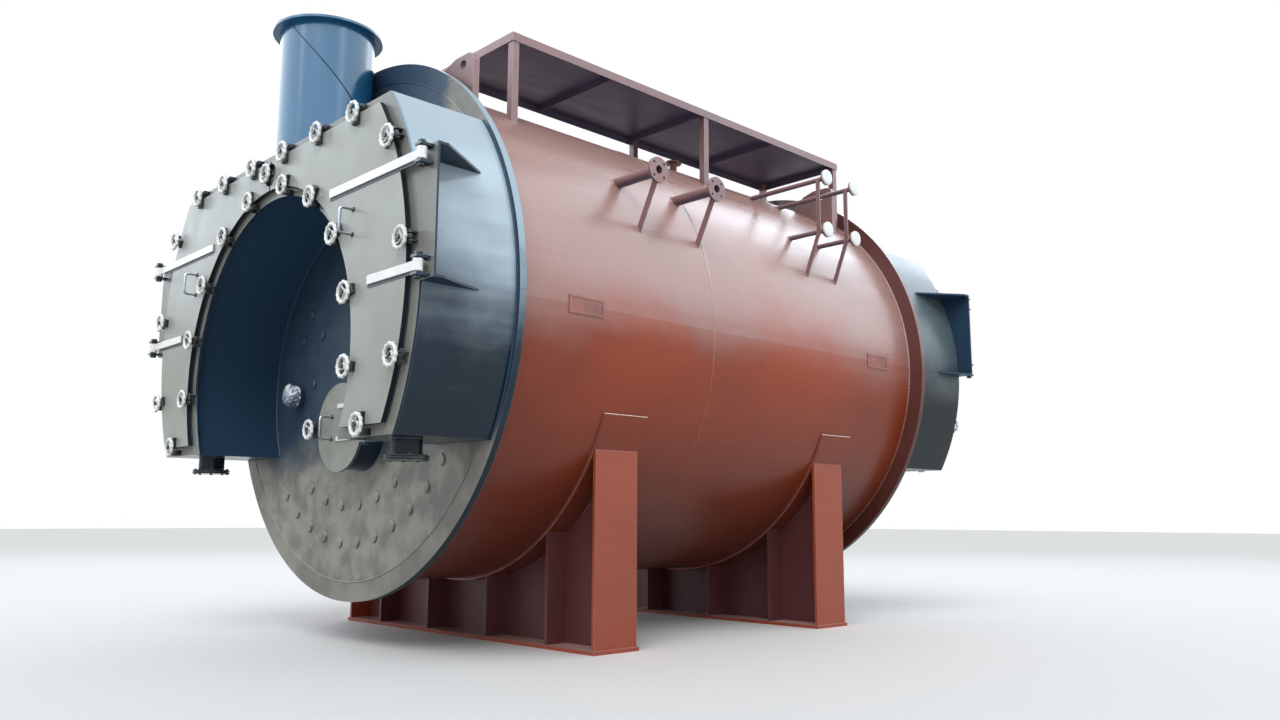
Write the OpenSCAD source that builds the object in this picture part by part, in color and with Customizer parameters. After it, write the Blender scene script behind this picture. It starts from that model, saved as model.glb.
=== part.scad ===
// Horizontal fire tube boiler on two saddles, built from its outline in a site photograph.
// Front (smoke box doors) faces -Y, the boiler's long axis runs along +Y, +Z is up.
// The zero point is the underside of the front saddle, at its middle.

/* [Shell] */
// outside radius of the pressure shell
shell_r = 1500; // [1200:10:1800]
// height of the shell axis above the saddle undersides
axis_h = 1860; // [1700:10:2200]
// length over the two tube plates
shell_len = 3810; // [3000:10:4600]
// shell plate thickness
shell_t = 16; // [8:1:25]
// distance from the front tube plate to the middle seam
seam_y = 1570; // [1200:10:1900]
// tube plate thickness
tube_plate_t = 22; // [14:1:30]
// height of the two end rings over the shell
ring_h = 111; // [40:1:160]
// width of the end rings along the shell
ring_w = 41; // [20:1:80]

/* [Smoke boxes] */
// how far the curved side walls stand outside the shell
box_over = 85; // [20:1:100]
// depth of the smoke boxes in front of the tube plates
box_depth = 555; // [400:5:700]
// height of the flat top above the shell axis
box_top = 965; // [850:5:1050]
// depth of the flat leg bottoms under the shell axis
box_bottom = 745; // [600:5:850]
// wall plate thickness
box_t = 10; // [6:1:14]
// depth of the arch centre under the shell axis
arch_drop = 300; // [200:5:400]
// radius of the arch opening, to its wall
arch_r = 1030; // [900:5:1100]
// inner edge radius of the face frame at the arch
frame_in_r = 985; // [880:5:1060]
// face frame plate thickness
frame_t = 12; // [8:1:20]
// width of the frame edge outside the door opening
frame_w = 100; // [70:5:140]
// half width of the bar between the two door openings
mullion_half = 60; // [45:5:90]

/* [Doors] */
// distance of the door edges inside the side walls
door_in = 70; // [40:1:90]
// inner edge radius of the doors at the arch
door_in_r = 1032; // [1000:1:1060]
// height of the door top edge above the shell axis
door_top = 908; // [850:1:950]
// depth of the door bottom edge under the shell axis
door_bottom = 692; // [600:1:730]
// door thickness
door_t = 28; // [16:1:40]
// gap between the door and its frame
door_gap = 6; // [5:0.5:12]
// gap between the two doors at the split
split_gap = 12; // [8:1:20]
// depth of the insulating lining behind each door
lining_t = 36; // [20:1:50]
// distance of the lining edge inside the frame opening
lining_in = 30; // [20:1:50]

/* [Door hinges] */
// distance of the hinge pins outside the side walls
hinge_over = 60; // [50:1:80]
// distance of the hinge pins in front of the frame face
hinge_out = 50; // [40:1:60]
// hinge pin radius
pin_r = 12; // [8:0.5:16]
// radial running clearance of the strap eyes
eye_clear = 0.06; // [0.02:0.01:0.1]
// strap eye outside radius
eye_r = 24; // [18:1:30]
// strap height
strap_h = 60; // [40:2:80]
// strap thickness
strap_t = 12; // [8:1:16]
// height of the upper strap above the shell axis
strap_up_z = 528; // [450:1:600]
// height of the lower strap above the shell axis
strap_low_z = 0; // [-60:1:60]
// inner end of the upper strap
strap_up_x = 755; // [600:5:900]
// inner end of the lower strap
strap_low_x = 1180; // [1120:5:1300]
// sideways reach of the ear plates outside the side walls
ear_over = 115; // [100:1:140]
// top of the ear plates above the shell axis
ear_top = 588; // [560:1:640]
// bottom of the ear plates above the shell axis
ear_bottom = -52; // [-100:1:-46]
// length of the upper ear gussets along the box
gusset_up_len = 395; // [300:5:480]
// length of the lower ear gussets along the box
gusset_low_len = 330; // [250:5:480]
// how much higher the rear ears and straps sit than the front ones
rear_lift = 36; // [0:1:45]
// ear and gusset plate thickness
ear_t = 12; // [8:1:16]
// sideways place of the door grips
grip_x = 1000; // [950:5:1050]
// height of the door grips above the shell axis
grip_z = 325; // [250:5:400]
// half length of the door grips
grip_half = 75; // [50:5:100]
// distance of the door grips in front of the doors
grip_out = 72; // [50:1:90]
// grip rod radius
grip_r = 8; // [6:0.5:11]

/* [Clamps] */
// clamp handwheel outside radius
wheel_r = 60; // [50:1:64]
// half thickness of the handwheel rim
rim_r = 9; // [6:0.5:11]
// distance of the handwheel rims in front of the frame face
wheel_out = 68; // [60:1:80]
// clamp stud radius
stud_r = 9; // [7:0.5:12]
// radius of the notch in the doors round the split clamp
split_notch_r = 68; // [66:1:74]
// height of the split clamp above the shell axis
split_z = 826; // [815:1:835]
// handwheel hub radius
hub_r = 19; // [14:1:24]
// washer radius under each handwheel
washer_r = 24; // [20:1:30]
// gap between the two prongs of a clamp fork
fork_gap = 32; // [24:1:40]
// thickness of a clamp fork prong
fork_t = 10; // [6:1:14]
// length of a clamp fork outward from its clamp
fork_len = 30; // [20:1:40]
// height of a clamp fork in front of the frame
fork_out = 30; // [20:1:40]

/* [Chimney] */
// chimney outside radius
chimney_r = 275; // [220:1:300]
// chimney plate thickness
chimney_t = 8; // [5:1:12]
// distance of the chimney axis in front of the tube plate
chimney_out = 275; // [262:1:276]
// height of the chimney over the shell's crown
chimney_h = 270; // [100:10:500]
// chimney flange radius
chimney_flange_r = 322; // [300:1:360]
// chimney flange thickness
chimney_flange_t = 14; // [10:1:20]

/* [Drains and access door] */
// distance of the leg drains outward from the middle of their floor
drain_shift = 20; // [0:1:40]
// distance of the leg drains in front of the tube plate
drain_out = 345; // [300:5:380]
// drain neck radius
drain_r = 78; // [60:1:100]
// drain flange radius
drain_flange_r = 112; // [100:1:140]
// drain neck length
drain_len = 82; // [40:1:100]
// drain flange and blank thickness
drain_flange_t = 11; // [8:1:20]
// thickness of the joint ring between drain flange and blank
drain_joint_t = 3; // [2:0.5:5]
// access door centre, sideways
access_x = 150; // [50:5:250]
// access door centre under the shell axis
access_drop = 615; // [560:5:700]
// access neck outside radius
neck_r = 240; // [200:1:250]
// access neck length
neck_len = 140; // [100:5:180]
// access neck wall thickness
neck_t = 12; // [8:1:16]
// access door disc radius
disc_r = 256; // [250:1:275]
// access door disc thickness
disc_t = 16; // [10:1:20]
// sideways distance of the access hinge pin from the disc centre
access_hinge_dx = 300; // [290:1:320]
// height of the upper access strap above the disc centre
access_strap_up = 118; // [90:1:130]
// height of the lower access strap above the disc centre
access_strap_low = -62; // [-100:1:-50]
// access strap height
access_strap_h = 40; // [30:2:50]
// access grip from the disc centre, sideways
access_grip_x = -85; // [-120:5:-60]
// half length of the access grip
access_grip_half = 60; // [40:5:80]

/* [Saddles] */
// distance from the front tube plate to the front saddle
saddle_front_y = 932; // [800:1:1100]
// distance from the rear tube plate to the rear saddle
saddle_rear_in = 858; // [700:1:1000]
// saddle width along the shell
saddle_w = 320; // [240:5:400]
// outer face of the saddle end plates
saddle_x = 1320; // [1200:5:1400]
// saddle plate thickness
saddle_t = 20; // [12:1:30]
// saddle base plate thickness
base_t = 22; // [15:1:30]
// wear pad thickness
pad_t = 16; // [10:1:20]
// angle of the wear pad edges under the horizontal
pad_edge = 21.8; // [10:0.1:30]
// rib distance from the middle, inner pair
rib_in_x = 320; // [200:10:450]
// rib distance from the middle, outer pair
rib_out_x = 905; // [700:5:1000]

/* [Platform] */
// right edge of the platform
plat_x1 = 935; // [800:5:1050]
// left edge of the platform
plat_x0 = 157; // [0:1:300]
// front edge of the platform behind the front tube plate
plat_y0 = 424; // [300:1:600]
// distance of the platform's rear edge from the rear tube plate
plat_rear_in = 90; // [50:5:400]
// height of the platform over the shell's crown
plat_h = 234; // [180:1:300]
// platform plate thickness
plat_t = 6; // [4:0.5:10]
// depth of the platform edge angles
plat_edge = 52; // [40:1:80]
// distance of the platform's cross bars from its ends
cross_in = 815; // [700:5:900]
// platform post width
post_w = 46; // [35:1:60]
// middle posts behind the front tube plate
post_mid_y = 2110; // [1900:5:2300]

/* [Nozzles] */
// height of the two feed nozzles above the shell axis
feed_z = 857; // [800:1:900]
// front feed nozzle behind the front tube plate
feed_y1 = 1000; // [900:5:1100]
// rear feed nozzle behind the front tube plate
feed_y2 = 1500; // [1400:5:1600]
// reach of the feed nozzle flanges beyond the shell
feed_out = 88; // [60:1:120]
// feed nozzle pipe outside radius
feed_pipe_r = 33; // [25:1:45]
// feed nozzle bore radius
feed_bore_r = 26; // [18:1:36]
// feed nozzle flange radius
feed_flange_r = 76; // [65:1:90]
// feed nozzle flange thickness
feed_flange_t = 18; // [12:1:24]
// feed flange bolt circle diameter
feed_pcd = 112; // [100:1:130]
// feed flange bolt hole radius
feed_hole_r = 9; // [7:0.5:11]
// height of the upper gauge nozzles above the shell axis
gauge_up_z = 1215; // [1150:1:1280]
// height of the lower gauge nozzles above the shell axis
gauge_low_z = 842; // [800:1:900]
// front gauge pair behind the front tube plate
gauge_y1 = 2670; // [2500:5:2800]
// rear gauge pair behind the front tube plate
gauge_y2 = 3000; // [2900:5:3200]
// reach of the gauge flanges beyond the shell
gauge_out = 68; // [45:1:100]
// gauge pipe outside radius
gauge_pipe_r = 17; // [12:1:25]
// gauge flange radius
gauge_flange_r = 52; // [40:1:60]
// gauge flange thickness
gauge_flange_t = 14; // [10:1:18]
// crown nozzle sideways position
crown_x = 300; // [200:5:400]
// crown nozzle behind the front tube plate
crown_y = 2450; // [2300:5:2600]
// height of the crown nozzle flange over the shell's crown
crown_h = 88; // [60:1:120]
// crown nozzle pipe outside radius
crown_pipe_r = 30; // [25:1:38]
// crown nozzle bore radius
crown_bore_r = 24; // [18:1:30]
// crown nozzle flange radius
crown_flange_r = 66; // [60:1:75]
// crown nozzle flange thickness
crown_flange_t = 14; // [10:1:18]
// crown flange bolt circle diameter
crown_pcd = 94; // [84:1:104]
// crown flange bolt hole radius
crown_hole_r = 8; // [6:0.5:9]
// angle of the strut feet above the shell's middle height
strut_angle = 20.5; // [16:0.5:24]
// covered pipe stub radius
stub_r = 58; // [45:1:70]
// covered pipe stub, sideways from the axis
stub_x = -655; // [-750:5:-550]
// covered pipe stub under the shell axis
stub_drop = 362; // [300:1:450]
// covered pipe stub length
stub_len = 115; // [80:5:150]

/* [Lifting lugs and plates] */
// lifting lug thickness
lug_t = 40; // [25:1:50]
// front lugs behind the front tube plate
lug_y1 = 105; // [70:5:200]
// distance of the rear lugs from the rear tube plate
lug_rear_in = 290; // [160:5:500]
// outer edge of the lifting lugs
lug_x1 = 1030; // [950:5:1080]
// inner edge of the lifting lugs
lug_x0 = 650; // [600:5:700]
// height of the lifting lugs under the shell's crown
lug_under = 28; // [0:1:100]
// lifting hole radius
lug_hole_r = 30; // [20:1:40]
// lifting hole from the outer edge of its lug
lug_hole_in = 105; // [90:1:120]
// lifting hole under the top of its lug
lug_hole_down = 58; // [50:1:70]
// corner cut of the lifting lugs
lug_cut = 50; // [30:5:60]
// length of the bare plate frames
plate_len = 250; // [200:5:300]
// height of the bare plate frames
plate_h = 100; // [70:5:130]
// front plate frame behind the front tube plate
frame_y1 = 537; // [450:5:650]
// rear plate frame, distance from the rear tube plate
frame_rear_in = 470; // [360:5:600]
// rim width of the plate frames
plate_rim = 12; // [8:1:18]

/* [Hidden] */
$fn = 72;
ring_r = shell_r + ring_h;
box_r = shell_r + box_over;
door_r = box_r - door_in;
hinge_x = box_r + hinge_over;
ear_x = box_r + ear_over;
floor_in = sqrt(pow(arch_r + box_t, 2) - pow(box_bottom - arch_drop, 2));
floor_out = sqrt(pow(box_r - box_t, 2) - pow(box_bottom, 2));
drain_x = (floor_in + floor_out) / 2 + drain_shift;
drain_blank_z = -drain_len - drain_flange_t - drain_joint_t;
chimney_top = shell_r + chimney_h;
saddle_pitch = shell_len - saddle_front_y - saddle_rear_in;
plat_y1 = shell_len - plat_rear_in;
plat_top = shell_r + plat_h;
feed_face_x = shell_r + feed_out;
gauge_face_x = shell_r + gauge_out;
crown_top = shell_r + crown_h;
lug_y2 = shell_len - lug_rear_in;
lug_top = shell_r - lug_under;
frame_y2 = shell_len - frame_rear_in;
rear_y = shell_len;
face_y = -box_depth;
door_back = face_y - door_gap;
door_front = door_back - door_t;
pin_y = face_y - hinge_out;
eye_bore_r = pin_r + eye_clear;
clevis_gap = 5;
clevis_t = 12;
clevis_half = 26;
pin_over = 8;
gusset_tip = 60;
ear_root_x = ear_x - 300;
wheel_y = face_y - wheel_out;
saddle_ys = [saddle_front_y, saddle_front_y + saddle_pitch];
pad_out_r = shell_r + pad_t;
base_z = -axis_h;
edge_t = 6;
cross_ys = [plat_y0 + cross_in, post_mid_y, plat_y1 - cross_in];
saddle_top_z = -sqrt(pow(pad_out_r, 2) - pow(saddle_x, 2)) - 2;
pad_over = 6;
base_over = 10;
strut_foot = (shell_r - 25) * [cos(strut_angle), sin(strut_angle)];
plat_under = plat_top - plat_t;
neck_end = -neck_len;
disc_back = neck_end - door_gap;
disc_front = disc_back - disc_t;
access_pin_y = disc_front + disc_t / 2;
access_strap_zs = [access_strap_low, access_strap_up];
access_lug_t = 10;
access_lug_gap = 6;
access_wheel_x = -disc_r - 22;
// clamps sit on the door's edge: angles round the shell axis and round the arch centre, and shares
// of the flat edges, counted from the middle of the boiler
outer_angles = [27, 5.8, -14.9];
inner_angles = [77.4, 56.8, 35.8, 15.4, -5.5];
top_shares = [0.825, 0.498, 0.165];
bottom_share = 0.573;
door_top_half = sqrt(pow(door_r, 2) - pow(door_top, 2));
door_foot_in = sqrt(pow(door_in_r, 2) - pow(door_bottom - arch_drop, 2));
door_foot_out = sqrt(pow(door_r, 2) - pow(door_bottom, 2));
outer_clamps = [for (a = outer_angles) door_r * [cos(a), sin(a)]];
inner_clamps = [for (a = inner_angles) door_in_r * [cos(a), sin(a)] - [0, arch_drop]];
top_clamps = [for (k = top_shares) [k * door_top_half, door_top]];
bottom_clamps = [[door_foot_in + bottom_share * (door_foot_out - door_foot_in), -door_bottom]];
door_clamps = concat(outer_clamps, top_clamps, inner_clamps, bottom_clamps);

// Helpers: heights are given from the shell axis, y from the front tube plate
module place() { translate([0, -saddle_front_y, axis_h]) children(); }
module ycyl(r, y0, y1, x = 0, z = 0) {
  translate([x, y0, z]) rotate([-90, 0, 0])
    cylinder(r = r, h = y1 - y0, $fn = r > 400 ? 240 : 72);
}
module zcyl(r, z0, z1, x = 0, y = 0) { translate([x, y, z0]) cylinder(r = r, h = z1 - z0); }
module xcyl(r, x0, x1, y = 0, z = 0) {
  translate([x0, y, z]) rotate([0, 90, 0]) cylinder(r = r, h = x1 - x0);
}
module block(x0, x1, y0, y1, z0, z1) { translate([x0, y0, z0]) cube([x1 - x0, y1 - y0, z1 - z0]); }
module both() {
  children();
  mirror([1, 0, 0]) children();
}
module flip_rear() { translate([0, rear_y, 0]) mirror([0, 1, 0]) children(); }

// Shell
module shell_course(y0, y1) {
  color("#9a4b3a") place() difference() {
    ycyl(shell_r, y0, y1);
    ycyl(shell_r - shell_t, y0 - 1, y1 + 1);
    shell_holes(y0, y1);
  }
}
module shell_holes(y0, y1) {
  for (y = [feed_y1, feed_y2]) if (y > y0 && y < y1)
    xcyl(feed_bore_r, shell_r / 2, shell_r, y, feed_z);
  for (y = [gauge_y1, gauge_y2], z = [gauge_up_z, gauge_low_z]) if (y > y0 && y < y1)
    xcyl(gauge_pipe_r - 5, shell_r / 2, shell_r, y, z);
  if (crown_y > y0 && crown_y < y1) zcyl(crown_bore_r, shell_r / 2, crown_top, crown_x, crown_y);
}
module shell_front_course() { shell_course(tube_plate_t, seam_y); }
module shell_rear_course() { shell_course(seam_y, rear_y - tube_plate_t); }
module front_tube_plate() { color("#6d6a66") place() ycyl(shell_r, 0, tube_plate_t); }
module rear_tube_plate() { color("#6d6a66") place() ycyl(shell_r, rear_y - tube_plate_t, rear_y); }
module end_ring(y0) {
  place() difference() {
    ycyl(ring_r, y0, y0 + ring_w);
    ycyl(shell_r, y0 - 1, y0 + ring_w + 1);
  }
}
module front_end_ring() { color("#20262c") end_ring(0); }
module rear_end_ring() { color("#6b3a31") end_ring(rear_y - ring_w); }

// Smoke box pieces, drawn for the front end and mirrored for the rear
module box_sides() {
  intersection() {
    difference() {
      ycyl(box_r, face_y + frame_t, 0);
      ycyl(box_r - box_t, face_y - 1, 1);
    }
    block(-box_r - 1, box_r + 1, face_y, 0, -box_bottom, box_top);
  }
}
module box_arch() {
  intersection() {
    difference() {
      ycyl(arch_r + box_t, face_y + frame_t, 0, 0, -arch_drop);
      ycyl(arch_r, face_y - 1, 1, 0, -arch_drop);
    }
    block(-box_r, box_r, face_y, 0, -box_bottom, box_top);
  }
}
module box_top_plate() {
  half = sqrt(pow(box_r - box_t, 2) - pow(box_top, 2));
  block(-half, half, face_y + frame_t, 0, box_top - box_t, box_top);
}
module box_floors() {
  both() intersection() {
    block(arch_r / 2, box_r, face_y + frame_t, 0, -box_bottom, -box_bottom + box_t);
    difference() {
      ycyl(box_r - box_t, face_y, 0);
      ycyl(arch_r + box_t, face_y - 1, 1, 0, -arch_drop);
    }
  }
}
module box_frame() {
  difference() {
    intersection() {
      ycyl(box_r, face_y, face_y + frame_t);
      block(-box_r, box_r, face_y, face_y + frame_t, -box_bottom, box_top);
    }
    ycyl(frame_in_r, face_y - 1, face_y + frame_t + 1, 0, -arch_drop);
    both() difference() {
      intersection() {
        ycyl(box_r - frame_w, face_y - 1, face_y + frame_t + 1);
        block(mullion_half, box_r, face_y - 1, face_y + frame_t + 1,
          -box_bottom + frame_w, box_top - frame_w);
      }
      ycyl(frame_in_r + frame_w, face_y - 2, face_y + frame_t + 2, 0, -arch_drop);
    }
  }
}
module ear_gusset(z, reach) {
  difference() {
    translate([0, 0, z]) linear_extrude(ear_t)
      polygon([[ear_root_x, face_y + ear_t], [ear_x, face_y + ear_t], [ear_x, face_y + gusset_tip],
        [sqrt(box_r * box_r - z * z), face_y + reach], [ear_root_x, face_y + reach]]);
    ycyl(box_r, face_y - 1, 1);
  }
}
module clevis_with_pin(z) {
  zcyl(pin_r, z - strap_h / 2 - clevis_gap - clevis_t - pin_over,
    z + strap_h / 2 + clevis_gap + clevis_t + pin_over, hinge_x, pin_y);
  for (s = [-1, 1]) {
    zs = z + s * (strap_h / 2 + clevis_gap + clevis_t / 2);
    block(hinge_x - clevis_half, hinge_x + clevis_half, pin_y - eye_r, face_y,
      zs - clevis_t / 2, zs + clevis_t / 2);
  }
}
module ear_with_pins(lift) {
  difference() {
    block(ear_root_x, ear_x, face_y, face_y + ear_t, ear_bottom + lift, ear_top + lift);
    ycyl(box_r, face_y - 1, face_y + ear_t + 1);
  }
  ear_gusset(ear_bottom + lift, gusset_low_len);
  ear_gusset(ear_top + lift - ear_t, gusset_up_len);
  for (z = [strap_up_z, strap_low_z]) clevis_with_pin(z + lift);
}
module front_box_sides() { color("#1f2930") place() box_sides(); }
module front_box_arch() { color("#1a222a") place() box_arch(); }
module front_box_flats() {
  color("#1f2930") place() {
    difference() {
      box_top_plate();
      zcyl(chimney_r - chimney_t, box_top - box_t - 1, box_top + 1, 0, -chimney_out);
    }
    difference() {
      box_floors();
      both() zcyl(drain_r - chimney_t, -box_bottom - 1, -box_bottom + box_t + 1,
        drain_x, -drain_out);
    }
  }
}
module front_box_frame() { color("#5c5f60") place() box_frame(); }
module front_ears() { color("#20282e") place() both() ear_with_pins(0); }

// Clamp forks stand on the frame just outside the door edges, and the split clamp is fixed
module fork_at(p, a) {
  near = 16;
  mid = (fork_gap + fork_t) / 2;
  for (s = [-1, 1]) translate([p[0], 0, p[1]]) rotate([0, -a, 0])
    block(near, near + fork_len, face_y - fork_out, face_y,
      s * mid - fork_t / 2, s * mid + fork_t / 2);
}
module clamp_forks() {
  for (p = outer_clamps) fork_at(p, atan2(p[1], p[0]));
  for (p = top_clamps) fork_at(p, 90);
  for (p = bottom_clamps) fork_at(p, -90);
  for (p = inner_clamps) fork_at(p, 180 + atan2(p[1] + arch_drop, p[0]));
}
module handwheel(p, back) {
  translate([p[0], wheel_y, p[1]]) {
    difference() {
      ycyl(wheel_r, -rim_r, rim_r);
      ycyl(wheel_r - 2 * rim_r, -rim_r - 1, rim_r + 1);
    }
    for (a = [0, 60, 120]) rotate([0, a, 0])
      block(-wheel_r + rim_r, wheel_r - rim_r, -4, 4, -4, 4);
    ycyl(hub_r, -rim_r - 1, rim_r + 7);
  }
  ycyl(stud_r, wheel_y - rim_r - 5, back, p[0], p[1]);
  ycyl(washer_r, back - 6, back, p[0], p[1]);
}
module front_clamp_forks() {
  color("#1d2327") place() {
    both() clamp_forks();
    handwheel([0, split_z], face_y);
  }
}

// Chimney with its open flange
module chimney() {
  color("#1d262e") place() difference() {
    union() {
      zcyl(chimney_r, box_top, chimney_top, 0, -chimney_out);
      zcyl(chimney_flange_r, chimney_top - chimney_flange_t, chimney_top, 0, -chimney_out);
    }
    zcyl(chimney_r - chimney_t, box_top - 1, chimney_top + 1, 0, -chimney_out);
  }
}

// Drain necks under the two legs, blanked
module drain_ring(r, z, t) {
  difference() {
    zcyl(r, z - t, z);
    zcyl(drain_r - chimney_t, z - t - 1, z + 1);
  }
}
module drain_nozzles() {
  color("#20282e") place() both() translate([drain_x, -drain_out, -box_bottom]) {
    drain_ring(drain_r, 0, drain_len);
    drain_ring(drain_flange_r, -drain_len, drain_flange_t);
    zcyl(drain_flange_r - 14, drain_blank_z, -drain_len - drain_flange_t);
    zcyl(drain_flange_r, drain_blank_z - drain_flange_t, drain_blank_z);
  }
}

// Access neck on the front tube plate, with the hinge lugs and pin of its round door
module access_hinge_lug(z) {
  off = (access_strap_h + access_lug_t) / 2 + access_lug_gap;
  zcyl(pin_r, z - off - access_lug_t, z + off + access_lug_t, access_hinge_dx, access_pin_y);
  for (s = [-1, 1]) difference() {
    block(neck_r / 2, access_hinge_dx + 20, access_pin_y - 20, neck_end + 40,
      z + s * off - access_lug_t / 2, z + s * off + access_lug_t / 2);
    block(0, disc_r + 8, access_pin_y - 21, neck_end, z - 60, z + 60);
    ycyl(neck_r - neck_t, neck_end - 1, 1);
  }
}
module access_neck() {
  color("#24303a") place() translate([access_x, 0, -access_drop]) {
    difference() {
      ycyl(neck_r, neck_end, 0);
      ycyl(neck_r - neck_t, neck_end - 1, 1);
    }
    for (z = access_strap_zs) access_hinge_lug(z);
    for (s = [-1, 1]) translate([0, 0, s * (fork_gap + fork_t) / 2])
      block(access_wheel_x - 22, -neck_r + 14, neck_end + 10, neck_end + 50, -fork_t / 2, fork_t / 2);
  }
}
module covered_stub() { color("#b9bdb9") place() ycyl(stub_r, -stub_len, 0, stub_x, -stub_drop); }

// Rear smoke box
module rear_box_walls() {
  color("#3b4a50") place() flip_rear() {
    box_sides();
    box_arch();
  }
}
module rear_box_flats() {
  color("#3b4a50") place() flip_rear() {
    box_top_plate();
    box_floors();
  }
}
module rear_box_frame() { color("#3b4a50") place() flip_rear() box_frame(); }
module rear_ears() { color("#232e36") place() flip_rear() both() ear_with_pins(rear_lift); }

// Doors
module door_plate() {
  difference() {
    intersection() {
      ycyl(door_r, door_front, door_back);
      block(split_gap / 2, door_r, door_front, door_back, -door_bottom, door_top);
    }
    ycyl(door_in_r, door_front - 1, door_back + 1, 0, -arch_drop);
    ycyl(split_notch_r, door_front - 1, door_back + 1, 0, split_z);
  }
}
module door_lining() {
  o = frame_w + lining_in;
  difference() {
    intersection() {
      ycyl(box_r - o, door_back, door_back + lining_t);
      block(mullion_half + lining_in, box_r, door_back, door_back + lining_t,
        -box_bottom + o, box_top - o);
    }
    ycyl(frame_in_r + o, door_back - 1, door_back + lining_t + 1, 0, -arch_drop);
  }
}
module strap(x0, z) {
  difference() {
    union() {
      block(x0, hinge_x, door_front - strap_t, door_front, z - strap_h / 2, z + strap_h / 2);
      zcyl(eye_r, z - strap_h / 2, z + strap_h / 2, hinge_x, pin_y);
    }
    zcyl(eye_bore_r, z - strap_h / 2 - 1, z + strap_h / 2 + 1, hinge_x, pin_y);
  }
}
module grip(p, half, front) {
  for (s = [-1, 1]) ycyl(grip_r, front - grip_out, front, p[0], p[1] + s * half);
  zcyl(grip_r, p[1] - half - grip_r, p[1] + half + grip_r, p[0], front - grip_out);
}
module two_straps(lift) {
  strap(strap_up_x, strap_up_z + lift);
  strap(strap_low_x, strap_low_z + lift);
}
module door_straps() {
  two_straps(0);
  grip([grip_x, grip_z], grip_half, door_front);
}
module door_clamp_set() { for (p = door_clamps) handwheel(p, door_front); }
module right_door_plate() { color("#55585a") place() door_plate(); }
module right_door_lining() { color("#c9c3b4") place() door_lining(); }
module right_door_straps() { color("#e9e9e6") place() door_straps(); }
module right_door_clamps() { color("#f0f0ee") place() door_clamp_set(); }
module left_door_plate() { color("#55585a") place() mirror([1, 0, 0]) door_plate(); }
module left_door_lining() { color("#c9c3b4") place() mirror([1, 0, 0]) door_lining(); }
module left_door_straps() { color("#e9e9e6") place() mirror([1, 0, 0]) door_straps(); }
module left_door_clamps() { color("#f0f0ee") place() mirror([1, 0, 0]) door_clamp_set(); }
module rear_doors() { color("#2f3c43") place() flip_rear() both() door_plate(); }
module rear_door_fittings() {
  color("#e9e9e6") place() flip_rear() {
    both() {
      two_straps(rear_lift);
      door_clamp_set();
    }
    handwheel([0, split_z], face_y);
  }
}

// Round access door, hinged at its right side
module access_door_disc() {
  color("#63635f") place() translate([access_x, 0, -access_drop])
    ycyl(disc_r, disc_front, disc_back);
}
module access_strap(z) {
  h = access_strap_h / 2;
  difference() {
    union() {
      block(20, access_hinge_dx, disc_front - 10, disc_front, z - h, z + h);
      zcyl(eye_r - 4, z - h, z + h, access_hinge_dx, access_pin_y);
    }
    zcyl(eye_bore_r, z - h - 1, z + h + 1, access_hinge_dx, access_pin_y);
  }
}
module access_door_fittings() {
  tongue_t = 12;
  color("#dcdcd8") place() translate([access_x, 0, -access_drop]) {
    for (z = access_strap_zs) access_strap(z);
    block(access_wheel_x - 12, -disc_r + 40, disc_front - tongue_t, disc_front, -24, 24);
    translate([0, disc_front - tongue_t - wheel_y - 40, 0])
      handwheel([access_wheel_x, 0], wheel_y + 40);
    grip([access_grip_x, 0], access_grip_half, disc_front);
  }
}

// Saddles
module on_saddles() { for (y = saddle_ys) translate([0, y, 0]) children(); }
module under_pad() {
  difference() {
    children();
    ycyl(pad_out_r, -saddle_w, saddle_w);
  }
}
module saddle_bases() {
  color("#a8503e") place() on_saddles()
    block(-saddle_x - base_over, saddle_x + base_over, -saddle_w / 2 - base_over,
      saddle_w / 2 + base_over, base_z, base_z + base_t);
}
module saddle_webs() {
  color("#a04d3c") place() on_saddles() under_pad()
    block(-saddle_x + saddle_t, saddle_x - saddle_t, -saddle_t / 2, saddle_t / 2,
      base_z + base_t, saddle_top_z);
}
module saddle_ribs() {
  color("#a04d3c") place() on_saddles() under_pad()
    for (x = [-rib_out_x, -rib_in_x, rib_in_x, rib_out_x], y = [-saddle_w / 2, saddle_t / 2])
      block(x - saddle_t / 2, x + saddle_t / 2, y, y + (saddle_w - saddle_t) / 2,
        base_z + base_t, saddle_top_z);
}
module saddle_end_plates() {
  color("#b4583f") place() on_saddles() both() under_pad()
    block(saddle_x - saddle_t, saddle_x, -saddle_w / 2, saddle_w / 2, base_z + base_t,
      saddle_top_z);
}
module saddle_wear_pads() {
  color("#a04d3c") place() on_saddles() difference() {
    ycyl(pad_out_r, -saddle_w / 2 - pad_over, saddle_w / 2 + pad_over);
    ycyl(shell_r, -saddle_w, saddle_w);
    block(-2000, 2000, -saddle_w, saddle_w, -shell_r * sin(pad_edge), 2000);
  }
}

// Platform over the shell
module platform_deck() {
  color("#8a4838") place() {
    block(plat_x0, plat_x1, plat_y0, plat_y1, plat_under, plat_top);
    difference() {
      block(plat_x0, plat_x1, plat_y0, plat_y1, plat_top - plat_edge, plat_under);
      block(plat_x0 + edge_t, plat_x1 - edge_t, plat_y0 + edge_t, plat_y1 - edge_t,
        plat_top - 2 * plat_edge, plat_top);
    }
    for (y = cross_ys)
      block(plat_x0 + edge_t, plat_x1 - edge_t, y - edge_t / 2, y + edge_t / 2,
        plat_top - plat_edge + 8, plat_under);
  }
}
module platform_posts() {
  y_starts = [plat_y0 + edge_t, post_mid_y + edge_t, plat_y1 - edge_t - post_w];
  color("#9a5040") place() difference() {
    for (y = y_starts, x = [plat_x0 + edge_t, plat_x1 - edge_t - post_w])
      block(x, x + post_w, y, y + post_w, shell_r / 2, plat_under);
    ycyl(shell_r, 0, rear_y);
  }
}

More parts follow.
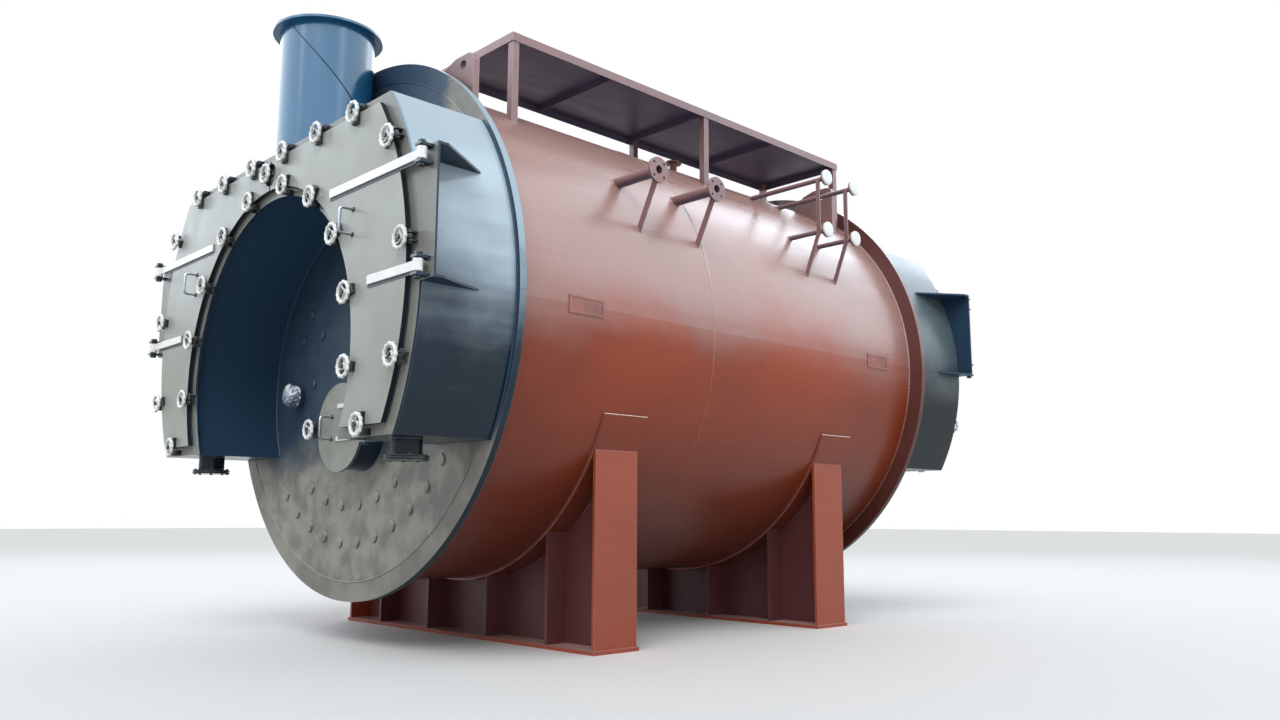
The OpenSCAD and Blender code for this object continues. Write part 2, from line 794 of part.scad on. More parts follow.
// Nozzles on the shell side, each with a strut down to the shell
module strut(x0, z0, x1, z1, w, t) {
  reach = norm([x1 - x0, z1 - z0]);
  translate([x0, 0, z0]) rotate([0, -atan2(z1 - z0, x1 - x0), 0])
    block(0, reach, -w / 2, w / 2, -t / 2, t / 2);
}
module feed_nozzles() {
  color("#8f4a3a") place() for (y = [feed_y1, feed_y2]) translate([0, y, 0]) difference() {
    union() {
      xcyl(feed_pipe_r, shell_r / 2, feed_face_x - feed_flange_t, 0, feed_z);
      xcyl(feed_flange_r, feed_face_x - feed_flange_t, feed_face_x, 0, feed_z);
      translate([0, feed_pipe_r - 7, 0])
        strut(strut_foot[0], strut_foot[1], feed_face_x - 42, feed_z - 12, 8, 38);
    }
    xcyl(feed_bore_r, shell_r / 2 - 1, feed_face_x + 1, 0, feed_z);
    for (a = [45, 135, 225, 315])
      xcyl(feed_hole_r, feed_face_x - feed_flange_t - 1, feed_face_x + 1,
        feed_pcd / 2 * cos(a), feed_z + feed_pcd / 2 * sin(a));
    ycyl(shell_r, -300, 300);
  }
}
module gauge_nozzles() {
  color("#8f4a3a") place() for (y = [gauge_y1, gauge_y2]) translate([0, y, 0]) difference() {
    union() {
      for (z = [gauge_up_z, gauge_low_z]) {
        xcyl(gauge_pipe_r, shell_r / 2, gauge_face_x - gauge_flange_t, 0, z);
        xcyl(gauge_flange_r, gauge_face_x - gauge_flange_t, gauge_face_x, 0, z);
      }
      translate([0, -gauge_pipe_r + 1, 0]) {
        block(gauge_face_x - 78, gauge_face_x - 48, -4, 4, gauge_low_z, gauge_up_z);
        strut(strut_foot[0], strut_foot[1], gauge_face_x - 60, gauge_low_z, 8, 30);
      }
    }
    for (z = [gauge_up_z, gauge_low_z])
      xcyl(gauge_pipe_r - 5, shell_r / 2 - 1, gauge_face_x + 1, 0, z);
    ycyl(shell_r, -300, 300);
  }
}
module gauge_covers() {
  color("#f2f2ef") place() for (y = [gauge_y1, gauge_y2], z = [gauge_up_z, gauge_low_z])
    xcyl(gauge_flange_r + 3, gauge_face_x, gauge_face_x + 14, y, z);
}
module crown_nozzle() {
  color("#8f4a3a") place() translate([crown_x, crown_y, 0]) difference() {
    union() {
      zcyl(crown_pipe_r, shell_r / 2, crown_top - crown_flange_t);
      zcyl(crown_flange_r, crown_top - crown_flange_t, crown_top);
    }
    zcyl(crown_bore_r, shell_r / 2 - 1, crown_top + 1);
    for (a = [45, 135, 225, 315])
      zcyl(crown_hole_r, crown_top - crown_flange_t - 1, crown_top + 1,
        crown_pcd / 2 * cos(a), crown_pcd / 2 * sin(a));
    translate([-crown_x, 0, 0]) ycyl(shell_r, -300, 300);
  }
}

// Lifting lugs and the bare plate frames
module lug() {
  foot = shell_r / 2;
  slope_top = lug_x0 + 4 * lug_cut;
  translate([0, lug_t / 2, 0]) rotate([90, 0, 0]) linear_extrude(lug_t)
    polygon([[lug_x0, lug_top - 130], [lug_x0 + 2 * lug_cut, lug_top - 0.6 * lug_cut],
      [slope_top, lug_top], [lug_x1 - lug_cut, lug_top], [lug_x1 - 0.3 * lug_cut,
      lug_top - 0.3 * lug_cut], [lug_x1, lug_top - lug_cut], [lug_x1, foot], [lug_x0, foot]]);
}
module lifting_lugs() {
  color("#8a5044") place() for (y = [lug_y1, lug_y2]) translate([0, y, 0]) both() difference() {
    lug();
    ycyl(lug_hole_r, -lug_t, lug_t, lug_x1 - lug_hole_in, lug_top - lug_hole_down);
    ycyl(shell_r, -lug_t, lug_t);
  }
}
module plate_block(in, back) {
  intersection() {
    ycyl(shell_r + 7, -plate_len / 2 + in, plate_len / 2 - in);
    block(shell_r / 2, 2 * shell_r, -plate_len, plate_len, -plate_h / 2 + in, plate_h / 2 - in);
    difference() {
      ycyl(2 * shell_r, -plate_len, plate_len);
      ycyl(back, -plate_len - 1, plate_len + 1);
    }
  }
}
module plate_frames() {
  color("#9a4b3a") place() for (y = [frame_y1, frame_y2]) translate([0, y, 0]) difference() {
    plate_block(0, shell_r);
    plate_block(plate_rim, shell_r + 3);
  }
}

shell_front_course();
shell_rear_course();
front_tube_plate();
rear_tube_plate();
front_end_ring();
rear_end_ring();
front_box_sides();
front_box_arch();
front_box_flats();
front_box_frame();
front_ears();
front_clamp_forks();
chimney();
drain_nozzles();
access_neck();
covered_stub();
rear_box_walls();
rear_box_flats();
rear_box_frame();
rear_ears();
rear_doors();
rear_door_fittings();
saddle_bases();
saddle_webs();
saddle_ribs();
saddle_end_plates();
saddle_wear_pads();
platform_deck();
platform_posts();
feed_nozzles();
gauge_nozzles();
gauge_covers();
crown_nozzle();
lifting_lugs();
plate_frames();
right_door_plate();
right_door_lining();
right_door_straps();
right_door_clamps();
left_door_plate();
left_door_lining();
left_door_straps();
left_door_clamps();
access_door_disc();
access_door_fittings();
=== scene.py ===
import math

import bmesh
import bpy
import numpy as np
from mathutils import Matrix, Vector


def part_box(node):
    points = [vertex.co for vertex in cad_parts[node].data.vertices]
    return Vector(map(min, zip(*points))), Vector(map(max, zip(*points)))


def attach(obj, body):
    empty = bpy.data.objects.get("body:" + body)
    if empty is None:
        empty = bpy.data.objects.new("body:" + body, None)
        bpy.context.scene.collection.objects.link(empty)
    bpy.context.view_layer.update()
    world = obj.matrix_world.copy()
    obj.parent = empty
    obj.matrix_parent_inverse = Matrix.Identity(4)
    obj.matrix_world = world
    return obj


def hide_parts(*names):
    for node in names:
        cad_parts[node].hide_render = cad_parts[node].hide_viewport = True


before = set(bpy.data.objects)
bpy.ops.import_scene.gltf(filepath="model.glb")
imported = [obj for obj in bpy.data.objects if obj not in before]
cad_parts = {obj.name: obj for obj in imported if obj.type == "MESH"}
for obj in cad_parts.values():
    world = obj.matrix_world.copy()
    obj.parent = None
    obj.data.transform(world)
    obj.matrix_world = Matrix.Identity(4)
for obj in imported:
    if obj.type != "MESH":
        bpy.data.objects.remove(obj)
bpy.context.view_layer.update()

# Camera
# It stands off the right front corner at about chest height and looks a little up, as the photograph was taken. Its
# place is measured from the middle of the front tube plate, which lies on the boiler's axis.
plate_low, plate_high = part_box("front_tube_plate")
axis_z, front_y = (plate_high.z + plate_low.z) / 2, plate_low.y
camera_place = (5.5756, front_y - 3.030, axis_z - 1.123)
camera_turn, camera_tilt, camera_roll = 0.799, 0.1525, 0.0036
lens_mm, sensor_mm = 28.86, 36.0
camera = bpy.data.objects.new("camera", bpy.data.cameras.new("camera"))
camera.data.lens = lens_mm
camera.data.sensor_width = sensor_mm
camera.data.clip_end = 200
camera.matrix_world = (Matrix.Translation(camera_place) @ Matrix.Rotation(camera_turn, 4, "Z")
                       @ Matrix.Rotation(math.pi / 2 + camera_tilt, 4, "X")
                       @ Matrix.Rotation(camera_roll, 4, "Z"))
bpy.context.scene.collection.objects.link(camera)
bpy.context.scene.camera = camera


# Shell plate in red oxide primer
# The shell is rolled steel plate, welded and brushed over with red oxide primer. The paint is satin and lies
# thicker in broad strokes. Where it faces up it carries a painted pale pink sky reflection, where it faces down
# painted shade.
def linear(hex_colour):
    """sRGB hex to linear colour: each channel c becomes c / 12.92 when small, else ((c + 0.055) / 1.055) ** 2.4."""
    channels = [int(hex_colour[i:i + 2], 16) / 255 for i in (1, 3, 5)]
    return tuple(c / 12.92 if c <= 0.04045 else ((c + 0.055) / 1.055) ** 2.4 for c in channels) + (1.0,)


def live_output(made):
    """The first output of a node that its settings leave in use."""
    return next(output for output in made.outputs if output.enabled)


def add_node(tree, kind, inputs=None, **settings):
    """Adds a shader node with its own settings. inputs gives each input a plain value, or what feeds it: an output,
    or a node, which stands for its live output."""
    made = tree.nodes.new("ShaderNode" + kind)
    for key, value in settings.items():
        setattr(made, key, value)
    for key, value in (inputs or {}).items():
        if isinstance(value, bpy.types.Node):
            value = live_output(value)
        if isinstance(value, bpy.types.NodeSocket):
            tree.links.new(value, made.inputs[key])
        else:
            made.inputs[key].default_value = value
    return made


def fade(tree, value, start, end, first=0.0, last=1.0):
    """A smooth step: first as long as the value hasn't reached start, and last from end on."""
    return add_node(tree, "MapRange", {"Value": value, "From Min": start, "From Max": end, "To Min": first,
                                       "To Max": last}, interpolation_type="SMOOTHSTEP")


def mix(tree, factor, under, over):
    """One colour laid over another, as much of it as the factor says."""
    return add_node(tree, "Mix", {"Factor": factor, "A": under, "B": over}, data_type="RGBA")


def brushed_paint(name, body, sky_glare, painted_underside_and_tone, roughness, glare_from=-0.05, glare_to=0.5, glare_most=0.9,
                  stroke_mm=90, cloud_mm=800, grain_mm=1.6, patch=0.35, streak=0.2, wear=None, face_colours=None,
                  face_side=0, metal=0.0, gloss=0.5):
    """Paint brushed or sprayed on plate. body is the paint itself. sky_glare is a painted reflection of the sky
    that it fades to where the surface faces up between the two heights of its normal. painted_underside_and_tone is
    the colour it takes where it faces down, painted shade on most paints and painted light under the arch, and also
    the darker tone it takes in clouds, as much as patch says. Clouds of cloud_mm and brush strokes of stroke_mm,
    drawn out along the boiler, make the glare's edge ragged. face_colours, if given, lie on the surfaces that face
    along the boiler, such as a door's front: to the front for face_side -1, the rear for 1, else both. wear shows
    along sharp edges, where the coat is thin."""
    material = bpy.data.materials.new(name)
    material.use_nodes = True
    tree = material.node_tree
    shader = tree.nodes["Principled BSDF"]
    place = add_node(tree, "TexCoord").outputs
    facing = add_node(tree, "SeparateXYZ", {"Vector": place["Normal"]}).outputs

    # the three patterns: clouds, strokes eight times as long as wide, and the fine grain of dried paint
    drawn_out = add_node(tree, "Mapping", {"Vector": place["Object"], "Scale": (1.0, 0.12, 1.0)})
    cloud = add_node(tree, "TexNoise", {"Vector": place["Object"], "Scale": 1000 / cloud_mm, "Detail": 5.0,
                                        "Roughness": 0.55})
    stroke = add_node(tree, "TexNoise", {"Vector": drawn_out, "Scale": 1000 / stroke_mm, "Detail": 2.5,
                                         "Roughness": 0.5})
    grain = add_node(tree, "TexNoise", {"Vector": place["Object"], "Scale": 1000 / grain_mm, "Detail": 2.0})

    # the normal's height, made ragged by both noises, whose means are taken off again at the painted glare's limits
    cloud_share = 0.45
    noise_mean = (cloud_share + streak) / 2
    ragged = add_node(tree, "Math", {0: cloud, 1: cloud_share, 2: facing["Z"]}, operation="MULTIPLY_ADD")
    ragged = add_node(tree, "Math", {0: stroke, 1: streak, 2: ragged}, operation="MULTIPLY_ADD")
    tone = fade(tree, cloud, 0.36, 0.64, last=patch)
    coats = [mix(tree, tone, linear(first), linear(second))
             for first, second in ((body, painted_underside_and_tone), face_colours or (body, body))]

    # each layer: the value it follows, where that starts and ends its rise, the most it covers, and its colour
    # the first layer is painted shade where the surface faces down, the second painted sky glare where it faces up
    layers = [(facing["Z"], 0.0, -0.85, 0.9, linear(painted_underside_and_tone)),
              (ragged, glare_from + noise_mean, glare_to + noise_mean, glare_most, linear(sky_glare))]
    if face_colours:
        along = add_node(tree, "Math", {0: facing["Y"], 1: face_side or 1},
                         operation="MULTIPLY" if face_side else "ABSOLUTE")
        layers.append((along, 0.6, 0.8, 1.0, coats[1]))
    if wear:
        edge_radius, worn_share = 0.006, 0.7
        soft = add_node(tree, "Bevel", {"Radius": edge_radius}, samples=4)
        true = add_node(tree, "NewGeometry").outputs["Normal"]
        near = add_node(tree, "VectorMath", {0: soft, 1: true}, operation="DOT_PRODUCT")
        worn = add_node(tree, "Math", {0: stroke, 1: worn_share}, operation="MULTIPLY")
        layers.append((near, 0.995, 0.85, worn, linear(wear)))
    colour = coats[0]
    for value, start, end, most, coat in layers:
        colour = mix(tree, fade(tree, value, start, end, last=most), colour, coat)

    # the strokes change the gloss a little; under them the plate itself has long shallow dents
    sheen = fade(tree, stroke, 0.25, 0.75, roughness - 0.04, roughness + 0.06)
    grain_weight, dent_weight, relief = 0.4, 32.0, 0.00018
    height = add_node(tree, "Math", {0: grain, 1: grain_weight, 2: stroke}, operation="MULTIPLY_ADD")
    height = add_node(tree, "Math", {0: cloud, 1: dent_weight, 2: height}, operation="MULTIPLY_ADD")
    bump = add_node(tree, "Bump", {"Height": height, "Strength": 0.5, "Distance": relief})
    for key, made in (("Base Color", colour), ("Roughness", sheen), ("Normal", bump)):
        tree.links.new(live_output(made), shader.inputs[key])
    shader.inputs["Metallic"].default_value = metal
    shader.inputs["Specular IOR Level"].default_value = gloss
    return material


def wear_paint(material, *nodes):
    """Puts the material in the only slot of each CAD node."""
    for name in nodes:
        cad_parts[name].data.materials.clear()
        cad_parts[name].data.materials.append(material)


# Red oxide primer, brushed on: satin and brick red, with painted shade below and a painted pink sky reflection
# above, and faint strokes along the shell.
red_primer = brushed_paint("red_oxide_primer_brushed", "#A4431F", "#B79C96", "#5A2B20", 0.29,
                           glare_from=-0.14, glare_to=0.22, glare_most=0.72, stroke_mm=130, cloud_mm=900,
                           streak=0.12, gloss=0.38)
wear_paint(red_primer, "shell_front_course", "shell_rear_course", "saddle_wear_pads", "crown_nozzle")


# Weld seams
# Every joint of the boiler is welded by hand, so each carries a low rippled bead, painted over with its plates.
# The seam between the two shell courses was ground and shows as a thin line, pale as painted highlight where it
# faces up.
shell_r = (plate_high.x - plate_low.x) / 2
rear_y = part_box("rear_tube_plate")[1].y
upright = ((1, 0, 0), (0, 1, 0), (0, 0, 1))


def full_turn(count):
    """Angles of count points spaced evenly round a full turn."""
    return np.linspace(0, 2 * np.pi, count, endpoint=False)


def quads(rows, cols, wrap_rows, wrap_cols):
    """Faces of a grid of points: each joins a point to the next in its row and to the two below them. A wrapped
    side joins its last line to its first."""
    row = np.arange(rows if wrap_rows else rows - 1)[:, None]
    col = np.arange(cols if wrap_cols else cols - 1)[None, :]
    next_row, next_col = (row + 1) % rows, (col + 1) % cols
    corners = [row * cols + col, row * cols + next_col, next_row * cols + next_col, next_row * cols + col]
    return np.stack([np.broadcast_to(c, (row.size, col.size)) for c in corners], -1).reshape(-1, 4)


def swept(path, radius, around=8, closed=False, flat=1.0, up=(0, 0, 1)):
    """A round bar along a path: at each point of the path the tangent, side and lift directions make a frame, and
    the ring is side * r cos a + lift * r * flat * sin a. radius is one number or one for each point."""
    path = np.asarray(path, float)
    if closed:
        tangent = np.roll(path, -1, 0) - np.roll(path, 1, 0)
    else:
        tangent = np.gradient(path, axis=0)
    tangent /= np.linalg.norm(tangent, axis=1, keepdims=True)
    up = np.broadcast_to(np.asarray(up, float), path.shape)
    side = np.cross(tangent, up)
    side /= np.linalg.norm(side, axis=1, keepdims=True)
    lift = np.cross(side, tangent)
    turn = full_turn(around)
    r = np.broadcast_to(np.asarray(radius, float), (len(path),))[:, None, None]
    ring = side[:, None] * np.cos(turn)[None, :, None] + lift[:, None] * np.sin(turn)[None, :, None] * flat
    points = path[:, None] + ring * r
    if not closed:
        points = np.concatenate([np.broadcast_to(path[:1, None], points[:1].shape), points,
                                 np.broadcast_to(path[-1:, None], points[:1].shape)])
    return points.reshape(-1, 3), quads(len(points), around, closed, True)


def turned(profile, around=24, ring=False):
    """A turned part: each (radius, height) of the profile goes once round the local z axis. Ends that lie on the
    axis close it, and a ring's profile closes on itself."""
    profile = np.asarray(profile, float)
    turn = full_turn(around)[:, None]
    points = np.stack([profile[:, 0] * np.cos(turn), profile[:, 0] * np.sin(turn),
                       np.broadcast_to(profile[:, 1], (around, len(profile)))], -1)
    return points.reshape(-1, 3), quads(around, len(profile), True, ring)


def copies(part, places, axes=upright):
    """The part once at each place, with its local x, y and z laid along the three rows of axes. axes is one set
    for all places or one for each."""
    points, faces = part
    places = np.asarray(places, float).reshape(-1, 3)
    axes = np.broadcast_to(np.asarray(axes, float), (len(places), 3, 3))
    spots = np.einsum("nk,mkj->mnj", points, axes) + places[:, None]
    shift = np.arange(len(places))[:, None, None] * len(points)
    return spots.reshape(-1, 3), (faces[None] + shift).reshape(-1, 4)


def joined(*parts):
    """Several parts as one."""
    starts = np.cumsum([0] + [len(p) for p, _ in parts[:-1]])
    return np.concatenate([p for p, _ in parts]), np.concatenate([f + s for (_, f), s in zip(parts, starts)])


def piece(name, parts, material, body="boiler", smooth_deg=38, replaced=()):
    """Joins the parts into one closed mesh with its faces outwards, shades it smooth up to an angle, and fastens
    it to its body."""
    points, faces = joined(*parts)
    mesh = bpy.data.meshes.new(name)
    mesh.from_pydata(points.tolist(), [], faces.tolist())
    shape = bmesh.new()
    shape.from_mesh(mesh)
    bmesh.ops.remove_doubles(shape, verts=shape.verts, dist=1e-6)
    bmesh.ops.recalc_face_normals(shape, faces=shape.faces)
    shape.to_mesh(mesh)
    shape.free()
    mesh.materials.append(material)
    mesh.polygons.foreach_set("use_smooth", np.ones(len(mesh.polygons), bool))
    mesh.set_sharp_from_angle(angle=math.radians(smooth_deg))
    made = bpy.data.objects.new(name, mesh)
    bpy.context.scene.collection.objects.link(made)
    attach(made, body)
    if replaced:
        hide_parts(*replaced)


def arc(radius, start_deg, end_deg, step_mm, y, drop=0.0):
    """Points along a circle about the boiler's axis, or about a line at drop under it, in a plane of constant y."""
    length = radius * math.radians(abs(end_deg - start_deg))
    count = max(8, int(length * 1000 / step_mm))
    a = np.radians(np.linspace(start_deg, end_deg, count, endpoint=abs(end_deg - start_deg) < 359.9))
    return np.stack([radius * np.cos(a), np.full(count, y), axis_z - drop + radius * np.sin(a)], -1)


def bead(path, width_mm, closed=False, ripple=0.12, up=(0, 1, 0)):
    """A weld bead along a path: a bar of half the bead's width whose radius swells a little every few steps."""
    count = len(path)
    swell = 1 + ripple * np.sin(np.arange(count) * 2 * np.pi / 3)
    return swept(path, width_mm / 2000 * swell, 6, closed, up=up)


ring_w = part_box("front_end_ring")[1].y - front_y
seam_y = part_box("shell_front_course")[1].y
bead_step_mm, ring_bead_mm, seam_mm = 9, 16, 9
shell_beads = [bead(arc(shell_r, 0, 360, bead_step_mm, y), ring_bead_mm, True)
               for y in (front_y + ring_w, rear_y - ring_w)]
# The same primer on a hand laid bead: rougher, with a painted pale sky reflection where its ripples face up.
weld_paint = brushed_paint("red_oxide_primer_on_welds", "#974328", "#B39D98", "#5A2C20", 0.45,
                           glare_from=-0.16, glare_to=0.14, stroke_mm=30, cloud_mm=250, grain_mm=1.2)
piece("shell_ring_welds", shell_beads, weld_paint)
# Primer rubbed thin over a ground seam: a little lighter than the shell, and a pale line where it faces up, as
# painted highlight.
seam_paint = brushed_paint("primer_thin_over_ground_seam", "#A05E4C", "#E0CEC7", "#6E3D30", 0.4,
                           glare_from=-0.12, glare_to=0.3, stroke_mm=40)
piece("shell_middle_seam", [bead(arc(shell_r - 0.001, 0, 360, bead_step_mm, seam_y), seam_mm, True, 0.05)],
      seam_paint)


# Saddles, platform and nozzles in the same primer
# Cut plate, angle iron and pipe, welded up and primed in the shop. The flat plates took the paint more evenly and
# stay a brighter red than the shell.
# Primer on thick cut plate: even, brick red, with pale worn edges.
plate_primer = brushed_paint("red_oxide_primer_on_cut_plate", "#A34628", "#C7AAA2", "#6E3325", 0.35,
                             glare_from=0.25, glare_to=0.9, glare_most=0.8, stroke_mm=60, patch=0.2,
                             wear="#C9A79C")
# Primer with painted shade, for the webs and ribs that lie in shadow under the shell: dull, dark and a little
# purple.
shade_primer = brushed_paint("red_oxide_primer_with_painted_shade", "#653436", "#C0A19B", "#452426", 0.45,
                             glare_from=0.25, glare_to=0.9, glare_most=0.8, stroke_mm=60, patch=0.3,
                             wear="#A98A80")
# Primer faded on angle iron and pipe, which the sun reaches all round: greyed pink, with pale edges, and a painted
# purple grey shade where it faces down.
angle_primer = brushed_paint("red_oxide_primer_on_angle_iron", "#875F5A", "#B5A2A1", "#464358", 0.4,
                             glare_from=0.15, glare_to=0.8, glare_most=0.8, stroke_mm=50, patch=0.3,
                             wear="#D0BFBB")
# Primer on the raised frames: blotched darker as painted shade, with light rims as painted highlight.
frame_primer = brushed_paint("red_oxide_primer_on_frames_with_painted_shading", "#985344", "#C09C93", "#5A2E24", 0.4,
                             glare_from=0.05, glare_to=0.7, glare_most=0.6, stroke_mm=25, cloud_mm=120, patch=0.6,
                             wear="#DCC2B9")
wear_paint(plate_primer, "saddle_end_plates", "saddle_bases")
wear_paint(shade_primer, "saddle_webs", "saddle_ribs")
wear_paint(angle_primer, "platform_posts", "feed_nozzles", "gauge_nozzles", "lifting_lugs")
wear_paint(frame_primer, "plate_frames")

# The platform has the angle iron's coat on its edges and top. Underneath, its plate and cross bars get painted
# shade, a dark blue grey in clouds a third of a metre wide.
deck_low, deck_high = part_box("platform_deck")
angle_t, plate_skin, clouds_per_m = 0.0055, 0.002, 3.0
deck_primer = angle_primer.copy()
deck_primer.name = "red_oxide_primer_with_painted_underside_shade"
tree = deck_primer.node_tree
place = add_node(tree, "TexCoord").outputs["Object"]
spot = add_node(tree, "SeparateXYZ", {"Vector": place}).outputs
under = add_node(tree, "Math", {0: spot["Z"], 1: deck_high.z - plate_skin}, operation="LESS_THAN")
for axis, low, high in (("X", deck_low.x, deck_high.x), ("Y", deck_low.y, deck_high.y)):
    for limit, side in ((low + angle_t, "GREATER_THAN"), (high - angle_t, "LESS_THAN")):
        within = add_node(tree, "Math", {0: spot[axis], 1: limit}, operation=side)
        under = add_node(tree, "Math", {0: under, 1: within}, operation="MULTIPLY")
shade_cloud = add_node(tree, "TexNoise", {"Vector": place, "Scale": clouds_per_m, "Detail": 5.0})
painted_underside_shade = mix(tree, shade_cloud, linear("#43405A"), linear("#655C6C"))
coat = tree.nodes["Principled BSDF"].inputs["Base Color"]
tree.links.new(live_output(mix(tree, under, coat.links[0].from_socket, painted_underside_shade)), coat)
wear_paint(deck_primer, "platform_deck")

# Fillets on the saddles: along both sides and the two top edges of each wear pad, and up the web's two faces
pad_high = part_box("saddle_wear_pads")[1]
pad_t, pad_half, web_t = 0.016, 0.166, 0.020
pad_bead_mm, web_bead_mm, pad_top_mm = 14, 10, 15


def rise_deg(height, radius):
    """The angle, in degrees, at which a circle reaches a height over its centre: asin(height / radius)."""
    return math.degrees(math.asin(height / radius))


pad_edge_deg = rise_deg(pad_high.z - axis_z, shell_r)
saddle_fillets, pad_tops = [], []
for y in (0.0, pad_high.y - pad_half):
    for side in (-1, 1):
        saddle_fillets.append(bead(arc(shell_r, 180 - pad_edge_deg, 360 + pad_edge_deg, bead_step_mm,
                                       y + side * pad_half), pad_bead_mm))
        saddle_fillets.append(bead(arc(shell_r + pad_t, 215, 325, 12, y + side * web_t / 2), web_bead_mm))
        top_x = side * shell_r * math.cos(math.radians(pad_edge_deg))
        top_line = np.linspace((top_x, y - pad_half, pad_high.z), (top_x, y + pad_half, pad_high.z), 38)
        pad_tops.append(bead(top_line, pad_top_mm, up=(0, 0, 1)))
# the fillets under the pads wear the primer with painted shade; the beads on the pads' top edges wear the seam's
# pale primer, a painted highlight along those edges
piece("saddle_fillet_welds", saddle_fillets, shade_primer)
piece("saddle_pad_top_welds", pad_tops, seam_paint)


# Nozzle roots
# Each pipe is set through the shell and welded round on the outside, so its bead follows the crossing of a small
# pipe and the big shell.
def root_bead(pipe_r, y, z, width_mm):
    """The bead round a level pipe on the right: a circle of the pipe's radius in y and z, pushed out in x to the
    shell, where x = sqrt(shell_r^2 - z^2)."""
    a = full_turn(30)
    height = z + pipe_r * np.sin(a)
    return bead(np.stack([np.sqrt(shell_r ** 2 - height ** 2), y + pipe_r * np.cos(a), axis_z + height], -1),
                width_mm, True, up=(1, 0, 0))


def hoop(centre, radius, count, axis):
    """A circle of count points round a centre, square to an axis: 0 for x, 1 for y, 2 for z."""
    a = full_turn(count)
    return centre + np.insert(radius * np.stack([np.cos(a), np.sin(a)], -1), axis, 0.0, axis=1)


feed_low, feed_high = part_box("feed_nozzles")
feed_flange_r, feed_flange_t, feed_pipe_r = 0.076, 0.018, 0.033
feed_z = feed_high.z - axis_z - feed_flange_r
feed_ys = (feed_low.y + feed_flange_r, feed_high.y - feed_flange_r)
gauge_low, gauge_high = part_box("gauge_nozzles")
gauge_flange_r, gauge_pipe_r = 0.052, 0.017
gauge_ys = (gauge_low.y + gauge_flange_r, gauge_high.y - gauge_flange_r)
gauge_zs = (1.215, 0.842)
feed_bead_mm, small_bead_mm = 12, 9
roots = [root_bead(feed_pipe_r, y, feed_z, feed_bead_mm) for y in feed_ys]
roots += [root_bead(gauge_pipe_r, y, z, small_bead_mm) for y in gauge_ys for z in gauge_zs]
roots += [bead(hoop((feed_high.x - feed_flange_t, y, axis_z + feed_z), feed_pipe_r, 36, 0), small_bead_mm, True,
               up=(1, 0, 0)) for y in feed_ys]
piece("nozzle_root_welds", roots, weld_paint)


# End rings
# Flat bar rolled on edge and welded round each end of the shell. The front one is black like the smoke box; the
# rear one is red brown, darkened to a deep brown with painted shade.
# Black enamel, sprayed: semi gloss and blue black, with a painted pale sky blue reflection where it faces up and
# painted shade where it faces down.
smoke_black = brushed_paint("black_enamel_semi_gloss", "#112C3F", "#CADFEC", "#0A1A28", 0.22,
                            glare_from=-0.24, glare_to=0.34, glare_most=0.85, stroke_mm=140, cloud_mm=500,
                            patch=0.5, streak=0.4, wear="#7E8B94", gloss=0.4)
# A red brown coat over the primer, brushed: low sheen, darkened all over with painted shade, with primer showing at
# the edges.
ring_brown = brushed_paint("red_brown_coat_with_painted_shade", "#603129", "#8C6E67", "#3A1E19", 0.38,
                           glare_from=0.15, glare_to=0.9, glare_most=0.7, stroke_mm=80, wear="#9A7A70")
wear_paint(smoke_black, "front_box_sides", "front_box_flats", "access_neck", "front_clamp_forks")
wear_paint(ring_brown, "rear_end_ring")

# The chimney stands upright; its black is painted a glossy steel blue all over, as painted reflection of the sky
# round it.
chimney_black = brushed_paint("black_enamel_with_painted_sky_blue", "#165E86", "#86A3B8", "#12547A", 0.2,
                              glare_from=0.3, glare_to=1.2, stroke_mm=60, patch=0.6, wear="#9DB0BE")
# Under the arch and behind the ears the enamel gets hardly any painted sky glare: a deep, even blue black, a little
# lighter where it faces down, as painted light.
arch_black = brushed_paint("black_enamel_sheltered", "#22394F", "#3D5C78", "#253F58", 0.42,
                           glare_from=0.6, glare_to=1.6, stroke_mm=400, patch=0.2, streak=0.05, wear="#4E6A80",
                           gloss=0.2)
# On the ears and the frame the enamel is brushed, and dust has settled on the faces that look forward. Where they
# face up, and in part where they stand upright, it carries a painted pale blue sky reflection, and painted shade
# where they face down.
ear_black = brushed_paint("black_enamel_on_ears", "#142C40", "#8FAFC0", "#0B1C2E", 0.33,
                          glare_from=0.05, glare_to=0.35, stroke_mm=90, patch=0.3, wear="#8FA0A8",
                          face_colours=("#7A7A74", "#908F89"), face_side=-1, gloss=0.2)
wear_paint(chimney_black, "chimney")
wear_paint(arch_black, "front_box_arch")
wear_paint(ear_black, "front_ears", "front_box_frame")


